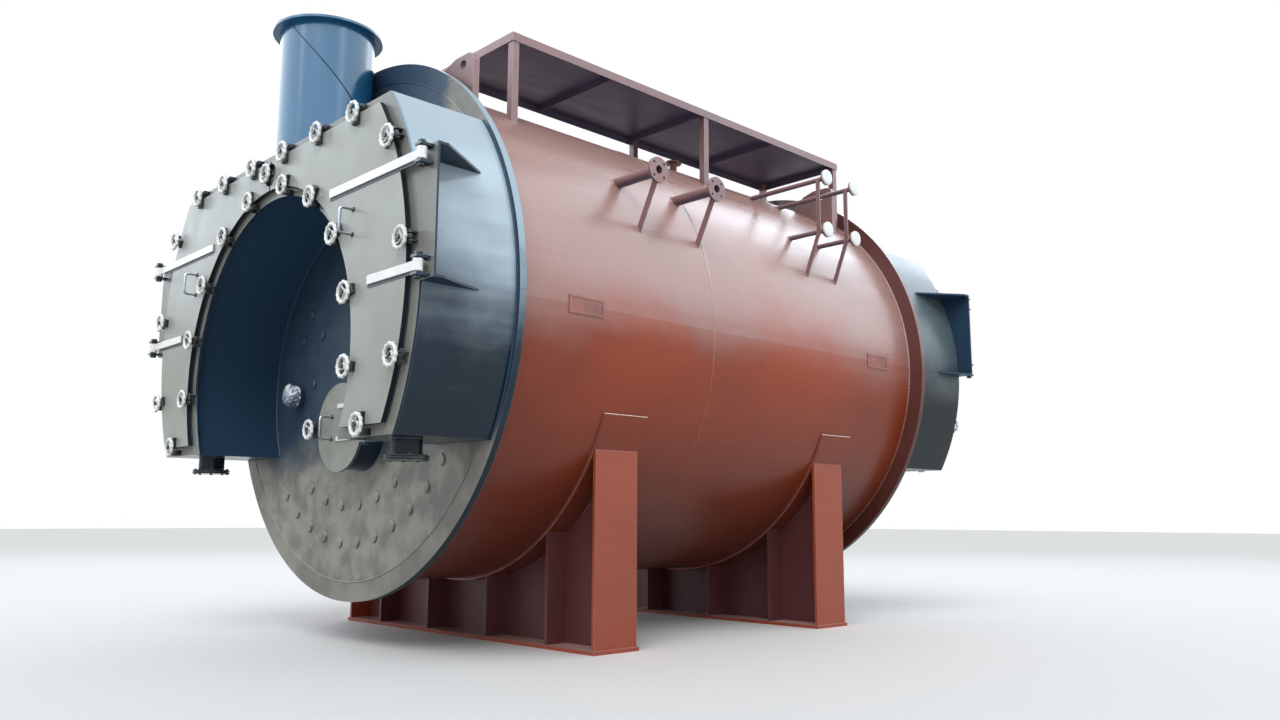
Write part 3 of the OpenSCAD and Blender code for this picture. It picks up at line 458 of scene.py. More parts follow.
# Tube plates
# Thick flat plates that close the shell. Their black shop coat is a dusty grey outside the smoke box, mottled where
# hands and rain wiped it; under the arch and behind the chimney it carries painted shade, dark and bluish.
def lay_painted_shade(material, colour, shade_low, shade_high, right_kept):
    """Lays painted shade, a darker colour, over a material's front: above shade_high and left of the arch's middle,
    with right_kept of it further right, fading to none below shade_low. Over the box's top it ends at the box's
    corner.
    A coarse noise shifts the side and height limits, so that they don't run straight."""
    drift, drift_per_m, least_forward = (0.9, 0.0, 0.6), 2.4, -0.1
    tree = material.node_tree
    coat = tree.nodes["Principled BSDF"].inputs["Base Color"]
    place = add_node(tree, "TexCoord").outputs
    blotch = add_node(tree, "TexNoise", {"Vector": place["Object"], "Scale": drift_per_m, "Detail": 5.0})
    blotch = blotch.outputs["Color"]
    shifted = add_node(tree, "VectorMath", {0: blotch, 1: drift, 2: place["Object"]}, operation="MULTIPLY_ADD")
    plain = add_node(tree, "SeparateXYZ", {"Vector": place["Object"]}).outputs
    drifted = add_node(tree, "SeparateXYZ", {"Vector": shifted}).outputs
    facing = add_node(tree, "SeparateXYZ", {"Vector": place["Normal"]}).outputs

    # each fade: the coordinate it follows, where it starts and ends, and what it is at both
    fades = ((plain["Z"], axis_z + 0.90, axis_z + 1.0, 0.0, 1.0),
             (drifted["X"], 0.75, 1.15, 1.0, right_kept),
             (drifted["X"], 1.29, 1.43, 1.0, 0.0),
             (drifted["Z"], shade_low + 0.3, shade_high + 0.3, 0.0, 0.95))
    over_box, below_top, above_top, height = [fade(tree, *each) for each in fades]
    amount = add_node(tree, "Mix", {"Factor": over_box, "A": below_top, "B": above_top}, data_type="FLOAT")
    forward = add_node(tree, "Math", {0: facing["Y"], 1: least_forward}, operation="LESS_THAN")
    for factor in (height, forward):
        amount = add_node(tree, "Math", {0: amount, 1: factor}, operation="MULTIPLY")
    tree.links.new(live_output(mix(tree, amount, coat.links[0].from_socket, linear(colour))), coat)


# Shop coat under dust: matt, mottled grey on the flat of the plate, where hands and rain wiped it in patches.
dusty_plate = brushed_paint("dusty_shop_coat_on_plate", "#2A3A44", "#A3A396", "#4B504C", 0.5,
                            stroke_mm=160, cloud_mm=150, patch=0.9, face_colours=("#64645C", "#8D8B80"),
                            wear="#A9A79B")
# On the ring the dust lies only on the front edge. The rim keeps the smoke box's blue black, with a painted pale
# sky reflection where it faces up and painted shade where it faces down.
dusty_ring = brushed_paint("dusty_shop_coat_on_ring", "#1B3344", "#A9C2D0", "#14232E", 0.4,
                           glare_from=-0.22, glare_to=0.25, stroke_mm=120, cloud_mm=260, patch=0.6, streak=0.3,
                           face_colours=("#716F68", "#99948A"), face_side=-1, wear="#A9A79B", gloss=0.3)
# painted shade under the arch on the plate, and on the ring under the arch and behind the chimney
lay_painted_shade(dusty_plate, "#0F2D44", axis_z - 0.88, axis_z - 0.60, 0.4)
lay_painted_shade(dusty_ring, "#1E384E", axis_z - 0.88, axis_z - 0.50, 1.0)
wear_paint(dusty_plate, "front_tube_plate", "rear_tube_plate")
wear_paint(dusty_ring, "front_end_ring")
# Grey enamel, brushed, under the same dust: matt and greenish, with dull clouds.
disc_grey = brushed_paint("grey_enamel_on_access_door", "#4A5254", "#A9ADA8", "#3A4244", 0.4,
                          glare_from=0.9, glare_to=1.6, stroke_mm=90, cloud_mm=240, patch=0.5,
                          face_colours=("#7D8078", "#999B92"), wear="#B9BCB6")
wear_paint(disc_grey, "access_door_disc")

# The stays that hold the plates apart end in low round heads, set in rings round the axis and under the arch.
arch_drop = 0.300
stay_head = turned([(0, 0.012), (0.027, 0.012), (0.032, 0.009), (0.034, 0), (0.042, -0.002)], 24)


def ring_spots(radius, first_deg, step_deg, count):
    """(x, height) of heads spaced evenly round the boiler's axis."""
    a = np.radians(first_deg + step_deg * np.arange(count))
    return np.stack([radius * np.cos(a), radius * np.sin(a)], -1)


def at_plane(spots, y):
    """(x, height) spots as points in a plane of constant y."""
    return np.stack([spots[:, 0], np.full(len(spots), y), axis_z + spots[:, 1]], -1)


arch_stays = np.array([(0.573, 0.166), (0.679, 0.001), (0.422, 0.015), (0.509, -0.296)])
stay_spots = np.concatenate([ring_spots(1.06, -61.4, -10.94, 6), ring_spots(1.275, -40.3, -8.87, 11),
                             arch_stays, arch_stays * (-1, 1)])
facing_front = ((1, 0, 0), (0, 0, 1), (0, -1, 0))
facing_rear = ((1, 0, 0), (0, 0, 1), (0, 1, 0))
for name, y, axes in (("front_stay_heads", front_y, facing_front), ("rear_stay_heads", rear_y, facing_rear)):
    piece(name, [copies(stay_head, at_plane(stay_spots, y), axes)], dusty_plate)


# Tube ends
# Behind the doors the fire tubes come through the plate, expanded and seal welded, a few millimetres proud. They
# are bare steel gone brown from heat and damp.
box_low, box_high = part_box("front_box_sides")
box_r = box_high.x
box_top, box_bottom = box_high.z - axis_z, axis_z - box_low.z
arch_t = 0.010
arch_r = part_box("front_box_arch")[1].x - arch_t
tube_pitch, tube_r, tube_wall = 0.098, 0.0315, 0.004
row, col = np.mgrid[-30:31, -30:31]
grid_x = (col + 0.5 * (row % 2)) * tube_pitch
grid_z = row * tube_pitch * math.sqrt(3) / 2
margin = tube_r + 0.03
inside = ((np.hypot(grid_x, grid_z) < shell_r - margin) & (grid_z < box_top - margin)
          & (grid_z > margin - box_bottom) & (np.hypot(grid_x, grid_z + arch_drop) > arch_r + arch_t + margin))
tube_end = turned([(tube_r, -0.004), (tube_r, 0.005), (tube_r - 0.001, 0.006), (tube_r - tube_wall, 0.006),
                   (tube_r - tube_wall, -0.004)], 18, True)
tube_dark = turned([(0, 0.0005), (tube_r - tube_wall, 0.0005), (tube_r - tube_wall, -0.003), (0, -0.003)], 18)
tube_places = at_plane(np.stack([grid_x[inside], grid_z[inside]], -1), front_y)
# Bare rolled steel gone brown: a dull metal with fine dark spots.
browned_steel = brushed_paint("browned_bare_steel", "#6B5A4C", "#8A7868", "#3A2F28", 0.5, stroke_mm=25,
                              grain_mm=1.0, patch=0.6, metal=0.6)
# Soot, settled dry: a dead black without any sheen.
soot = brushed_paint("soot_in_tubes", "#121212", "#1C1B1A", "#0A0A0A", 0.9, stroke_mm=20)
piece("tube_ends", [copies(tube_end, tube_places, facing_front)], browned_steel)
piece("tube_mouths", [copies(tube_dark, tube_places, facing_front)], soot)


# Smoke box welds
# The box is welded to the tube plate inside its ring, the chimney to the flat top, and the chimney itself is a
# plate wound in a spiral, so its one seam climbs round it.
side_low_deg, side_top_deg = -rise_deg(box_bottom, box_r), rise_deg(box_top, box_r)
arch_foot_deg = -rise_deg(box_bottom - arch_drop, arch_r + arch_t)
chimney_low, chimney_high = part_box("chimney")
chimney_r, chimney_y, chimney_flange_t = 0.275, (chimney_low.y + chimney_high.y) / 2, 0.014
side_bead_mm, arch_bead_mm, hoop_bead_mm, spiral_bead_mm, plate_bead_mm = 14, 12, 10, 8, 9
black_beads = []
for y in (front_y, rear_y):
    for start, end in ((side_low_deg, side_top_deg), (180 - side_top_deg, 180 - side_low_deg)):
        black_beads.append(bead(arc(box_r, start, end, bead_step_mm, y), side_bead_mm))
    black_beads.append(bead(arc(arch_r, arch_foot_deg, 180 - arch_foot_deg, bead_step_mm, y, arch_drop),
                            arch_bead_mm))
for z in (chimney_low.z, chimney_high.z - chimney_flange_t):
    black_beads.append(bead(hoop((0, chimney_y, z), chimney_r, 190, 2), hoop_bead_mm, True, up=(0, 0, 1)))
climb = np.linspace(0, 1, 160)
spiral_from, spiral_turn, top_gap, both_gaps = -78, 146, 0.016, 0.03
spiral_a = np.radians(spiral_from + spiral_turn * climb)
spiral = np.stack([chimney_r * np.cos(spiral_a), chimney_y + chimney_r * np.sin(spiral_a),
                   chimney_high.z - top_gap - climb * (chimney_high.z - chimney_low.z - both_gaps)], -1)
black_beads.append(bead(spiral, spiral_bead_mm, ripple=0.08, up=(0, 0, 1)))
piece("smoke_box_welds", black_beads, arch_black)
piece("tube_plate_ring_weld", [bead(arc(shell_r, 0, 360, bead_step_mm, front_y), plate_bead_mm, True)],
      dusty_plate)


# Front doors
# Each is one heavy plate with a fire lining behind it, sealed with rope against the frame. The faces are brushed a
# light grey, gone dusty, and the cut edges are black.
# Grey enamel, brushed in broad strokes: a dusty light grey face with a low sheen, and near black cut edges.
door_grey = brushed_paint("grey_enamel_on_doors", "#18222C", "#8E9696", "#141C24", 0.33,
                          glare_from=0.9, glare_to=1.6, stroke_mm=150, cloud_mm=700, patch=0.8,
                          face_colours=("#989A92", "#A4A8A3"), wear="#B9BCB6", gloss=0.2)
wear_paint(door_grey, "right_door_plate", "left_door_plate")
# Castable refractory, trowelled: pale buff, gritty and quite matt.
lining_cast = brushed_paint("castable_fire_lining", "#B8AE9A", "#CBC3B2", "#8C8373", 0.85,
                            stroke_mm=60, grain_mm=4, patch=0.5)
wear_paint(lining_cast, "right_door_lining", "left_door_lining")
door_low, door_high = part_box("right_door_plate")
door_r, door_in_r = door_high.x, 1.032
door_front, face_y = door_low.y, door_high.y + 0.006
door_top, door_bottom = door_high.z - axis_z, axis_z - door_low.z

# A flat woven rope seals the doors. It lies on the frame just inside their edges, bedded in black compound, and its
# dark band also stands in for the shade in the gap round each door.
seal_in, seal_half, seal_flat = 0.014, 0.013, 0.36
seal_top, seal_bottom = door_top - seal_in, door_bottom - seal_in


def seal_arc(radius, first_z, last_z, drop, side):
    """Points on a circle's right (side 1) or left half, from one height over the boiler's axis to another."""
    first, last = [rise_deg(min(radius, z + drop), radius) for z in (first_z, last_z)]
    return arc(radius, first, last, 24, face_y - 0.0005, drop) * (side, 1, 1)


outer_seal_r, inner_seal_r = door_r - seal_in, door_in_r + seal_in
crown = inner_seal_r - arch_drop - 1e-4
seal_path = np.concatenate([seal_arc(outer_seal_r, -seal_bottom, seal_top, 0, 1),
                            seal_arc(outer_seal_r, seal_top, -seal_bottom, 0, -1),
                            seal_arc(inner_seal_r, -seal_bottom, crown, arch_drop, -1),
                            seal_arc(inner_seal_r, crown, -seal_bottom, arch_drop, 1)])
# Graphited rope in jointing compound: matt black with the weave showing as a coarse grain.
rope_black = brushed_paint("graphite_rope_and_compound", "#1A232C", "#3C4851", "#12181E", 0.6,
                           glare_from=0.5, glare_to=1.4, stroke_mm=14, cloud_mm=120, grain_mm=2.5)


def moved(parts, places=(0, 0, 0), axes=upright):
    """Copies of each part of a list."""
    return [copies(part, places, axes) for part in parts]


def at_rear(parts):
    """The parts' mirror images at the boiler's other end, y -> front_y + rear_y - y."""
    return moved(parts, (0, front_y + rear_y, 0), ((1, 0, 0), (0, -1, 0), (0, 0, 1)))


seal = [swept(seal_path, seal_half, 8, True, flat=seal_flat, up=(0, 1, 0))]
piece("door_seals", seal + at_rear(seal), rope_black)

# Steel anchors hold the lining to the door: a rod with a washer in a shallow pit at each.
anchor = turned([(0, 0.0045), (0.006, 0.0045), (0.008, 0.002), (0.019, 0.0015), (0.021, -0.002), (0, -0.002)], 16)
lining_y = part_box("right_door_lining")[1].y
anchor_spots = np.concatenate([ring_spots(1.36, -17, 11, 5), ring_spots(1.18, -8, 14, 4),
                               [(0.55, 0.84), (0.30, 0.84), (0.97, -0.60), (1.17, -0.60)]])
for side, sign in (("right", 1), ("left", -1)):
    anchor_places = at_plane(anchor_spots * (sign, 1), lining_y)
    piece(side + "_door_lining_anchors", [copies(anchor, anchor_places, facing_rear)], browned_steel,
          side + "_door")


# Door clamps
# The doors are pulled shut by swing bolts round every edge, each with a cast iron handwheel. The wheel has eleven
# finger lobes, three dished spokes and a hub, and is brushed white. It bears on a dog, two short black bars that
# lie on the door and reach over its edge, with the bolt between them.
wheel_y = face_y - 0.068
outer_deg, inner_deg = np.array([27, 5.8, -14.9]), np.array([77.4, 56.8, 35.8, 15.4, -5.5])
outer_spots = door_r * np.stack([np.cos(np.radians(outer_deg)), np.sin(np.radians(outer_deg))], -1)
inner_spots = door_in_r * np.stack([np.cos(np.radians(inner_deg)), np.sin(np.radians(inner_deg))], -1)
inner_spots[:, 1] -= arch_drop
top_spots = np.array([[k * math.sqrt(door_r ** 2 - door_top ** 2), door_top] for k in (0.825, 0.498, 0.165)])
foot_in = math.sqrt(door_in_r ** 2 - (door_bottom - arch_drop) ** 2)
foot_out = math.sqrt(door_r ** 2 - door_bottom ** 2)
foot_spots = np.array([[foot_in + 0.573 * (foot_out - foot_in), -door_bottom]])
clamp_spots = np.concatenate([outer_spots, top_spots, inner_spots, foot_spots])
outward_deg = np.concatenate([outer_deg, [90, 90, 90], 180 + inner_deg, [-90]])
split_spot = np.array([[0.0, 0.826]])


def lobed_rim(radius, bar_r, lobes, lobe_height=0.0032, around=66, section=8):
    """A handwheel's rim: a bar round the local z axis whose outside swells by lobe_height * cos(lobes * a), so it
    carries finger lobes, and whose section is a little wider than high."""
    a = full_turn(around)[:, None]
    t = full_turn(section)[None, :]
    outside = 0.5 + 0.5 * np.cos(t)
    r = radius + bar_r * np.cos(t) + lobe_height * np.cos(lobes * a) * outside
    points = np.stack([r * np.cos(a), r * np.sin(a), bar_r * 0.95 * np.sin(t) + 0 * a], -1)
    return points.reshape(-1, 3), quads(around, section, True, True)


def spun(part, degrees):
    """A part turned about its local z axis."""
    a = math.radians(degrees)
    return copies(part, (0, 0, 0), ((math.cos(a), math.sin(a), 0), (-math.sin(a), math.cos(a), 0), (0, 0, 1)))


spoke = swept([(0.010, 0, -0.008), (0.022, 0.002, -0.009), (0.034, 0.003, -0.005), (0.046, 0, 0)],
              [0.0062, 0.0056, 0.0052, 0.0058], 8)
wheel = joined(lobed_rim(0.0505, 0.0095, 11), spun(spoke, 0), spun(spoke, 120), spun(spoke, 240),
               turned([(0, 0.004), (0.008, 0.004), (0.0085, 0.002), (0.015, 0.002), (0.017, -0.001),
                       (0.018, -0.014), (0.014, -0.018), (0, -0.018)], 20))
stud = joined(turned([(0, 0.012), (0.007, 0.012), (0.009, 0.010), (0.009, -0.05), (0, -0.05)], 14),
              turned([(0, 0.004), (0.013, 0.004), (0.0145, 0.006), (0.0145, 0.011), (0.013, 0.013), (0, 0.013)], 6),
              turned([(0, -0.024), (0.020, -0.024), (0.022, -0.022), (0.022, -0.020), (0.020, -0.0175),
                      (0, -0.0175)], 20))
# White enamel, brushed on by hand: bright and satin, grey with painted shade where it faces down, and rubbed
# through at the edges.
white_paint = brushed_paint("white_enamel_brushed", "#F4F4F1", "#F8F8F6", "#B9B9B2", 0.35,
                            glare_from=0.3, glare_to=1.2, stroke_mm=40, cloud_mm=200, patch=0.25, wear="#A7A49B")
# Black bolts as they come from the forge, oiled: dark grey, satin, with bare steel at the corners.
black_bolts = brushed_paint("black_bolts", "#1D252B", "#59646B", "#12171B", 0.42,
                            glare_from=0.3, glare_to=1.2, stroke_mm=30, cloud_mm=200, patch=0.4, wear="#68706F",
                            gloss=0.4)


def turned_wheels(spots, y, seed):
    """A wheel at each (x, height) of a front plane, each left at its own angle as a hand leaves it."""
    angles = np.random.default_rng(seed).uniform(0, 120, len(spots))
    return [copies(spun(wheel, angle), (x, y, axis_z + z), facing_front) for (x, z), angle in zip(spots, angles)]


def bar(x0, x1, y0, y1, z0, z1, edge=0.0015):
    """A square cut bar with its edges broken: five rings along x, the end ones inset and closed to a point."""
    y, z, hy, hz = (y0 + y1) / 2, (z0 + z1) / 2, (y1 - y0) / 2, (z1 - z0) / 2
    corner = np.array([(-1, -1), (1, -1), (1, 1), (-1, 1)])
    sections = [(x0, 0, 0), (x0, hy - edge, hz - edge), (x0 + edge, hy, hz), (x1 - edge, hy, hz),
                (x1, hy - edge, hz - edge), (x1, 0, 0)]
    points = np.stack([np.column_stack([np.full(4, x), y + corner[:, 0] * a, z + corner[:, 1] * b])
                       for x, a, b in sections])
    return points.reshape(-1, 3), quads(6, 4, False, True)


def outward_axes(sign):
    """For each clamp of the right (sign 1) or left door: the directions outward over the door's edge, to the front
    and across."""
    a = np.radians(outward_deg)
    outward = np.stack([sign * np.cos(a), 0 * a, np.sin(a)], -1)
    return np.stack([outward, np.broadcast_to((0, -1, 0), outward.shape),
                     np.stack([-outward[:, 2], 0 * a, outward[:, 0]], -1)], 1)


dog = joined(bar(-0.060, 0.011, 0, 0.016, 0.012, 0.023), bar(-0.060, 0.011, 0, 0.016, -0.023, -0.012),
             bar(-0.062, -0.048, 0, 0.020, -0.026, 0.026))
wheel_seeds = {"right": 5, "left": 6, "split": 7}
all_wheels, all_dogs = [], []
for side, sign in (("right", 1), ("left", -1)):
    spots = clamp_spots * (sign, 1)
    wheels = turned_wheels(spots, wheel_y, wheel_seeds[side])
    dogs = copies(dog, at_plane(spots, door_front), outward_axes(sign))
    all_wheels += wheels
    all_dogs.append(dogs)
    piece(side + "_door_handwheels", wheels, white_paint, side + "_door",
          replaced=(side + "_door_clamps",))
    piece(side + "_door_clamp_studs", [copies(stud, at_plane(spots, wheel_y), facing_front), dogs], black_bolts,
          body=side + "_door")
split_wheel = turned_wheels(split_spot, wheel_y, wheel_seeds["split"])
piece("split_handwheel", split_wheel, white_paint)


# Clamp forks
# Two rounded lugs, cut from plate and welded to the frame, stand on either side of each clamp. A pin through both
# carries the eye of the swing bolt between them.
def rounded_lug(length, height, thick, count=10):
    """A lug: a flat base and two straight sides that end in a half round of half the length, cut from plate of
    that thickness. Its rings run from one face to the other, inset by a small chamfer at both."""
    half, edge = length / 2, 0.0012
    a = np.linspace(0, np.pi, count)
    top = np.stack([half * np.cos(a), height - half + half * np.sin(a)], -1)
    outline = np.concatenate([[(half, 0.0)], top, [(-half, 0.0)]])
    middle = np.array([0.0, (height - half) / 2])
    inset = middle + (outline - middle) * (1 - 2 * edge / half)
    rings = [np.broadcast_to(middle, outline.shape), inset, outline, outline, inset,
             np.broadcast_to(middle, outline.shape)]
    depths = (-thick / 2, -thick / 2, -thick / 2 + edge, thick / 2 - edge, thick / 2, thick / 2)
    points = np.stack([np.column_stack([ring, np.full(len(ring), depth)]) for ring, depth in zip(rings, depths)])
    return points.reshape(-1, 3), quads(6, len(outline), False, True)


fork_near, fork_len, fork_mid, lug_t = 0.017, 0.034, 0.021, 0.010
lug = rounded_lug(fork_len, 0.046, lug_t)
pin = turned([(0, -0.036), (0.008, -0.036), (0.0095, -0.034), (0.0095, -0.028), (0.006, -0.0275), (0.006, -0.012),
              (0.0125, -0.011), (0.0135, -0.009), (0.0135, 0.009), (0.0125, 0.011), (0.006, 0.012), (0.006, 0.0275),
              (0.0095, 0.028), (0.0095, 0.034), (0.008, 0.036), (0, 0.036)], 12)
forks = [copies(stud, at_plane(split_spot, wheel_y), facing_front)]
for sign in (1, -1):
    axes = outward_axes(sign)
    base = at_plane(clamp_spots * (sign, 1), face_y) + axes[:, 0] * (fork_near + fork_len / 2)
    across = axes[:, 2] * fork_mid
    forks += [copies(lug, base + across, axes), copies(lug, base - across, axes),
              copies(pin, base + (0, -0.030, 0), axes)]
piece("clamp_forks_and_pins", forks + at_rear(forks), black_bolts, replaced=("front_clamp_forks",))


# Door straps and grips
# Flat bar straps run across each door to the hinge eyes, brushed white, each on a thinner black backing strip whose
# dark edge below the strap stands in for the strap's shadow. The grip is a bent round bar, galvanised, with black
# nuts. A nut and washer close each end of the hinge pins.
ear_past_pin, pin_out, pin_r = 0.055, 0.050, 0.012
hinge_x, pin_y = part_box("front_ears")[1].x - ear_past_pin, face_y - pin_out
strap_t, eye_height, eye_radius, grip_out, grip_bar_r = 0.012, 0.060, 0.024, 0.075, 0.007


def strap_with_eye(x0, z, front, thick, height, eye_x, eye_y, eye_r, flush_top=True):
    """A strap along x from x0 to the hinge, and the eye that turns on the pin with 0.2 mm to spare. The strap has
    three quarters of the eye's height and is flush with its top, or else its bottom."""
    low, high = z - height / 2, z + height / 2
    bore = pin_r + 0.0002
    eye = turned([(bore, low), (eye_r - 0.002, low), (eye_r, low + 0.002), (eye_r, high - 0.002),
                  (eye_r - 0.002, high), (bore, high)], 28, True)
    first, last = (low + height / 4, high) if flush_top else (low, high - height / 4)
    return [bar(x0, eye_x - bore + 0.003, front - thick, front - 0.003, first, last),
            copies(eye, (eye_x, eye_y, 0))]


def bent_grip(x, z, half, front, out, bar_r=0.008, bend=0.018):
    """A grip: from the plate straight out, round a quarter bend, up, round a second bend and back, with a collar
    at each foot."""
    a = np.linspace(0, np.pi / 2, 6)
    down = np.stack([np.full(6, x), front - out + bend - bend * np.sin(a), z - half + bend - bend * np.cos(a)], -1)
    rise = np.stack([np.full(6, x), front - out + bend - bend * np.cos(a), z + half - bend + bend * np.sin(a)], -1)
    path = np.concatenate([[(x, front + 0.002, z - half), (x, front - out / 2, z - half)], down, rise,
                           [(x, front - out / 2, z + half), (x, front + 0.002, z + half)]])
    collar = turned([(0, 0.008), (bar_r + 0.004, 0.008), (bar_r + 0.007, 0.005), (bar_r + 0.007, -0.002),
                     (0, -0.002)], 6)
    return ([swept(path, bar_r, 12, up=(1, 0, 0))],
            [copies(collar, [(x, front, z - half), (x, front, z + half)], facing_front)])


mirror_x = ((-1, 0, 0), (0, 1, 0), (0, 0, 1))
strap_spots, rear_lift = ((0.755, 0.528), (1.180, 0.0)), 0.036


def two_straps(lift):
    """The right door's upper and lower strap, raised by the lift."""
    return sum([strap_with_eye(x, axis_z + z + lift, door_front, strap_t, eye_height, hinge_x, pin_y, eye_radius)
                for x, z in strap_spots], [])


def two_backings_and_shadows(lift):
    """The black strips under the right door's straps, whose edge below each strap is painted shadow."""
    return [bar(x - 0.004, hinge_x - 0.075, door_front - 0.0035, door_front, axis_z + z + lift - 0.030,
                axis_z + z + lift + 0.033) for x, z in strap_spots]


def left_too(parts):
    """The parts, and their mirror images on the boiler's left."""
    return parts + moved(parts, axes=mirror_x)


# Hot dipped galvanised bar: a bright grey metal, spangled in small dull clouds.
galvanised = brushed_paint("galvanised_bar", "#9AA3A8", "#C3CACD", "#6E777C", 0.35, stroke_mm=20, cloud_mm=60,
                           patch=0.5, metal=0.7)
grip, grip_nuts = bent_grip(1.000, axis_z + 0.337, 0.065, door_front, grip_out, grip_bar_r)
for side, axes in (("right", upright), ("left", mirror_x)):
    piece(side + "_door_straps_painted", moved(two_straps(0), axes=axes), white_paint,
          side + "_door", replaced=(side + "_door_straps",))
    piece(side + "_door_grip", moved(grip, axes=axes), galvanised, body=side + "_door")
    piece(side + "_door_strips_and_nuts", moved(grip_nuts + two_backings_and_shadows(0), axes=axes), black_bolts,
          body=side + "_door")
piece("rear_door_wheels_and_straps", at_rear(left_too(two_straps(rear_lift)) + all_wheels + split_wheel),
      white_paint, replaced=("rear_door_fittings",))
rear_studs = copies(stud, at_plane(np.concatenate([clamp_spots, clamp_spots * (-1, 1)]), wheel_y), facing_front)
piece("rear_door_studs_and_dogs", at_rear([rear_studs] + all_dogs + left_too(grip_nuts + two_backings_and_shadows(rear_lift))),
      black_bolts)
piece("rear_door_grips", at_rear(left_too(grip)), galvanised)

pin_nut = turned([(0, 0.047), (0.0225, 0.047), (0.0225, 0.0495), (0.018, 0.0495), (0.0195, 0.0515),
                  (0.0195, 0.061), (0.018, 0.063), (0, 0.063)], 6)
upside_down = ((1, 0, 0), (0, -1, 0), (0, 0, -1))
pin_nuts = []
for _, z in strap_spots:
    for y, lift in ((pin_y, 0), (front_y + rear_y - pin_y, rear_lift)):
        here = (hinge_x, y, axis_z + z + lift)
        pin_nuts += left_too([copies(pin_nut, here), copies(pin_nut, here, upside_down)])
piece("hinge_pin_nuts", pin_nuts, black_bolts)


# Access door
# A round door on a short neck, for reaching the tube plate. It has its own two hinge straps, a tongue with one
# handwheel clamp, and a grip.
disc_low, disc_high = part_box("access_door_disc")
access_x, access_z = (disc_low.x + disc_high.x) / 2, (disc_low.z + disc_high.z) / 2
disc_r, disc_front = (disc_high.x - disc_low.x) / 2, disc_low.y
neck_r = (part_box("access_neck")[1].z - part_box("access_neck")[0].z) / 2
access_pin_x, access_pin_y = access_x + 0.300, disc_front + 0.008
hinge_ups, tongue_t, neck_bead_mm = (0.118, -0.062), 0.012, 12
small_straps = []
for up in hinge_ups:
    small_straps += strap_with_eye(access_x - 0.015, access_z + up, disc_front, 0.010, 0.034, access_pin_x,
                                   access_pin_y, 0.020, up > 0)
piece("access_door_straps", small_straps, white_paint, "access_door",
      replaced=("access_door_fittings",))
wheel_at = (access_x - disc_r - 0.022, disc_front - tongue_t - 0.040, access_z)
piece("access_door_handwheel", [copies(spun(wheel, 17), wheel_at, facing_front)], white_paint,
      "access_door")
access_grip, access_grip_nuts = bent_grip(access_x - 0.085, access_z, 0.064, disc_front, grip_out, grip_bar_r)
piece("access_door_grip", access_grip, galvanised, body="access_door")
small_stud = joined(stud, turned([(0, -0.02), (0.009, -0.02), (0.009, -0.058), (0, -0.058)], 14))
tongue = bar(wheel_at[0] - 0.014, access_x - disc_r + 0.040, disc_front - tongue_t, disc_front, access_z - 0.050,
             access_z + 0.050)
piece("access_door_tongue_and_nuts", [tongue, copies(small_stud, wheel_at, facing_front)] + access_grip_nuts,
      black_bolts, body="access_door")
neck_parts = [bead(hoop((access_x, front_y, access_z), neck_r, 170, 1), neck_bead_mm, True)]
low_nut = copies(pin_nut, (0, 0, -0.011))
for up in hinge_ups:
    neck_parts += [copies(low_nut, (access_pin_x, access_pin_y, access_z + up), axes)
                   for axes in (upright, upside_down)]
piece("access_neck_weld_and_nuts", neck_parts, arch_black)


# Covered stub
# A black pipe end wrapped in thin clear sheet against rain. The sheet is gathered and tied behind, crumpled in
# front, and catches the light along its folds.
stub_low, stub_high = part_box("covered_stub")
stub_x, stub_z = (stub_low.x + stub_high.x) / 2, (stub_low.z + stub_high.z) / 2
stub_r, pipe_out, wrap_len, crumple_depth = (stub_high.x - stub_low.x) / 2, 0.060, 0.086, 0.021
along = np.linspace(0, 1, 40)[:, None]
turn_a = full_turn(96)[None, :]
# each crease: how many go round, how far they twist on the way out, how deep they are, and where they start
creases = ((5, -7, 0.3, 1.3), (9, 5, 0.35, 0), (13, -17, 0.25, 2.1), (17, 12, 0.2, 0.4), (7, 23, 0.2, 3.3))
crumple = sum(depth * np.abs(np.sin((turns * turn_a + twist * along + start) / 2))
              for turns, twist, depth, start in creases)
crumple = crumple - 0.8 + 0.35 * np.sin(3 * turn_a + 2.5 * along + 0.6)
# it rounds off over its last third, and the tie draws it in a fifth of the way out
dome = np.sqrt(np.clip(1 - np.clip((along - 0.7) / 0.3, 0, 1) ** 2, 0, 1))
tie = 1 - 0.12 * np.exp(-((along - 0.2) / 0.06) ** 2)
wrap_r = (stub_r + 0.002 + crumple_depth * crumple * np.minimum(1, along * 8)) * dome * tie
wrap_y = front_y - 0.034 - along * wrap_len + 0.012 * crumple * along ** 2 * (1 - np.clip(along * 4 - 3, 0, 1))
wrap = np.stack([stub_x - 0.010 + wrap_r * np.cos(turn_a), wrap_y + 0 * turn_a,
                 stub_z + 1.12 * wrap_r * np.sin(turn_a)], -1)
wrap[0] = wrap[0].mean(0)
wrap[-1] = wrap[-1].mean(0)
pipe_r = stub_r - 0.012
pipe_end = turned([(0, -0.005), (pipe_r, -0.005), (pipe_r, pipe_out), (0, pipe_out)], 40)
piece("stub_pipe", [copies(pipe_end, (stub_x - 0.004, front_y, stub_z), facing_front)], arch_black)
# Thin clear plastic sheet, crumpled: glossy, pale with a painted highlight where it faces up, dark where the black
# pipe shows through.
wrap_sheet = brushed_paint("thin_clear_sheet_crumpled", "#B4C1CC", "#F3F6F8", "#33465A", 0.14, stroke_mm=9,
                           cloud_mm=20, grain_mm=3, patch=0.95, glare_from=-0.1, glare_to=0.5)
piece("crumpled_wrap", [(wrap.reshape(-1, 3), quads(40, 96, False, True))], wrap_sheet,
      smooth_deg=12, replaced=("covered_stub",))

# The gauge flanges are closed with discs of white sheet, folded over the rim and taped behind.
cover_low, cover_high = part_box("gauge_covers")
cover_r = gauge_ys[0] - cover_low.y
cover_front, cover_back = cover_high.x, cover_low.x
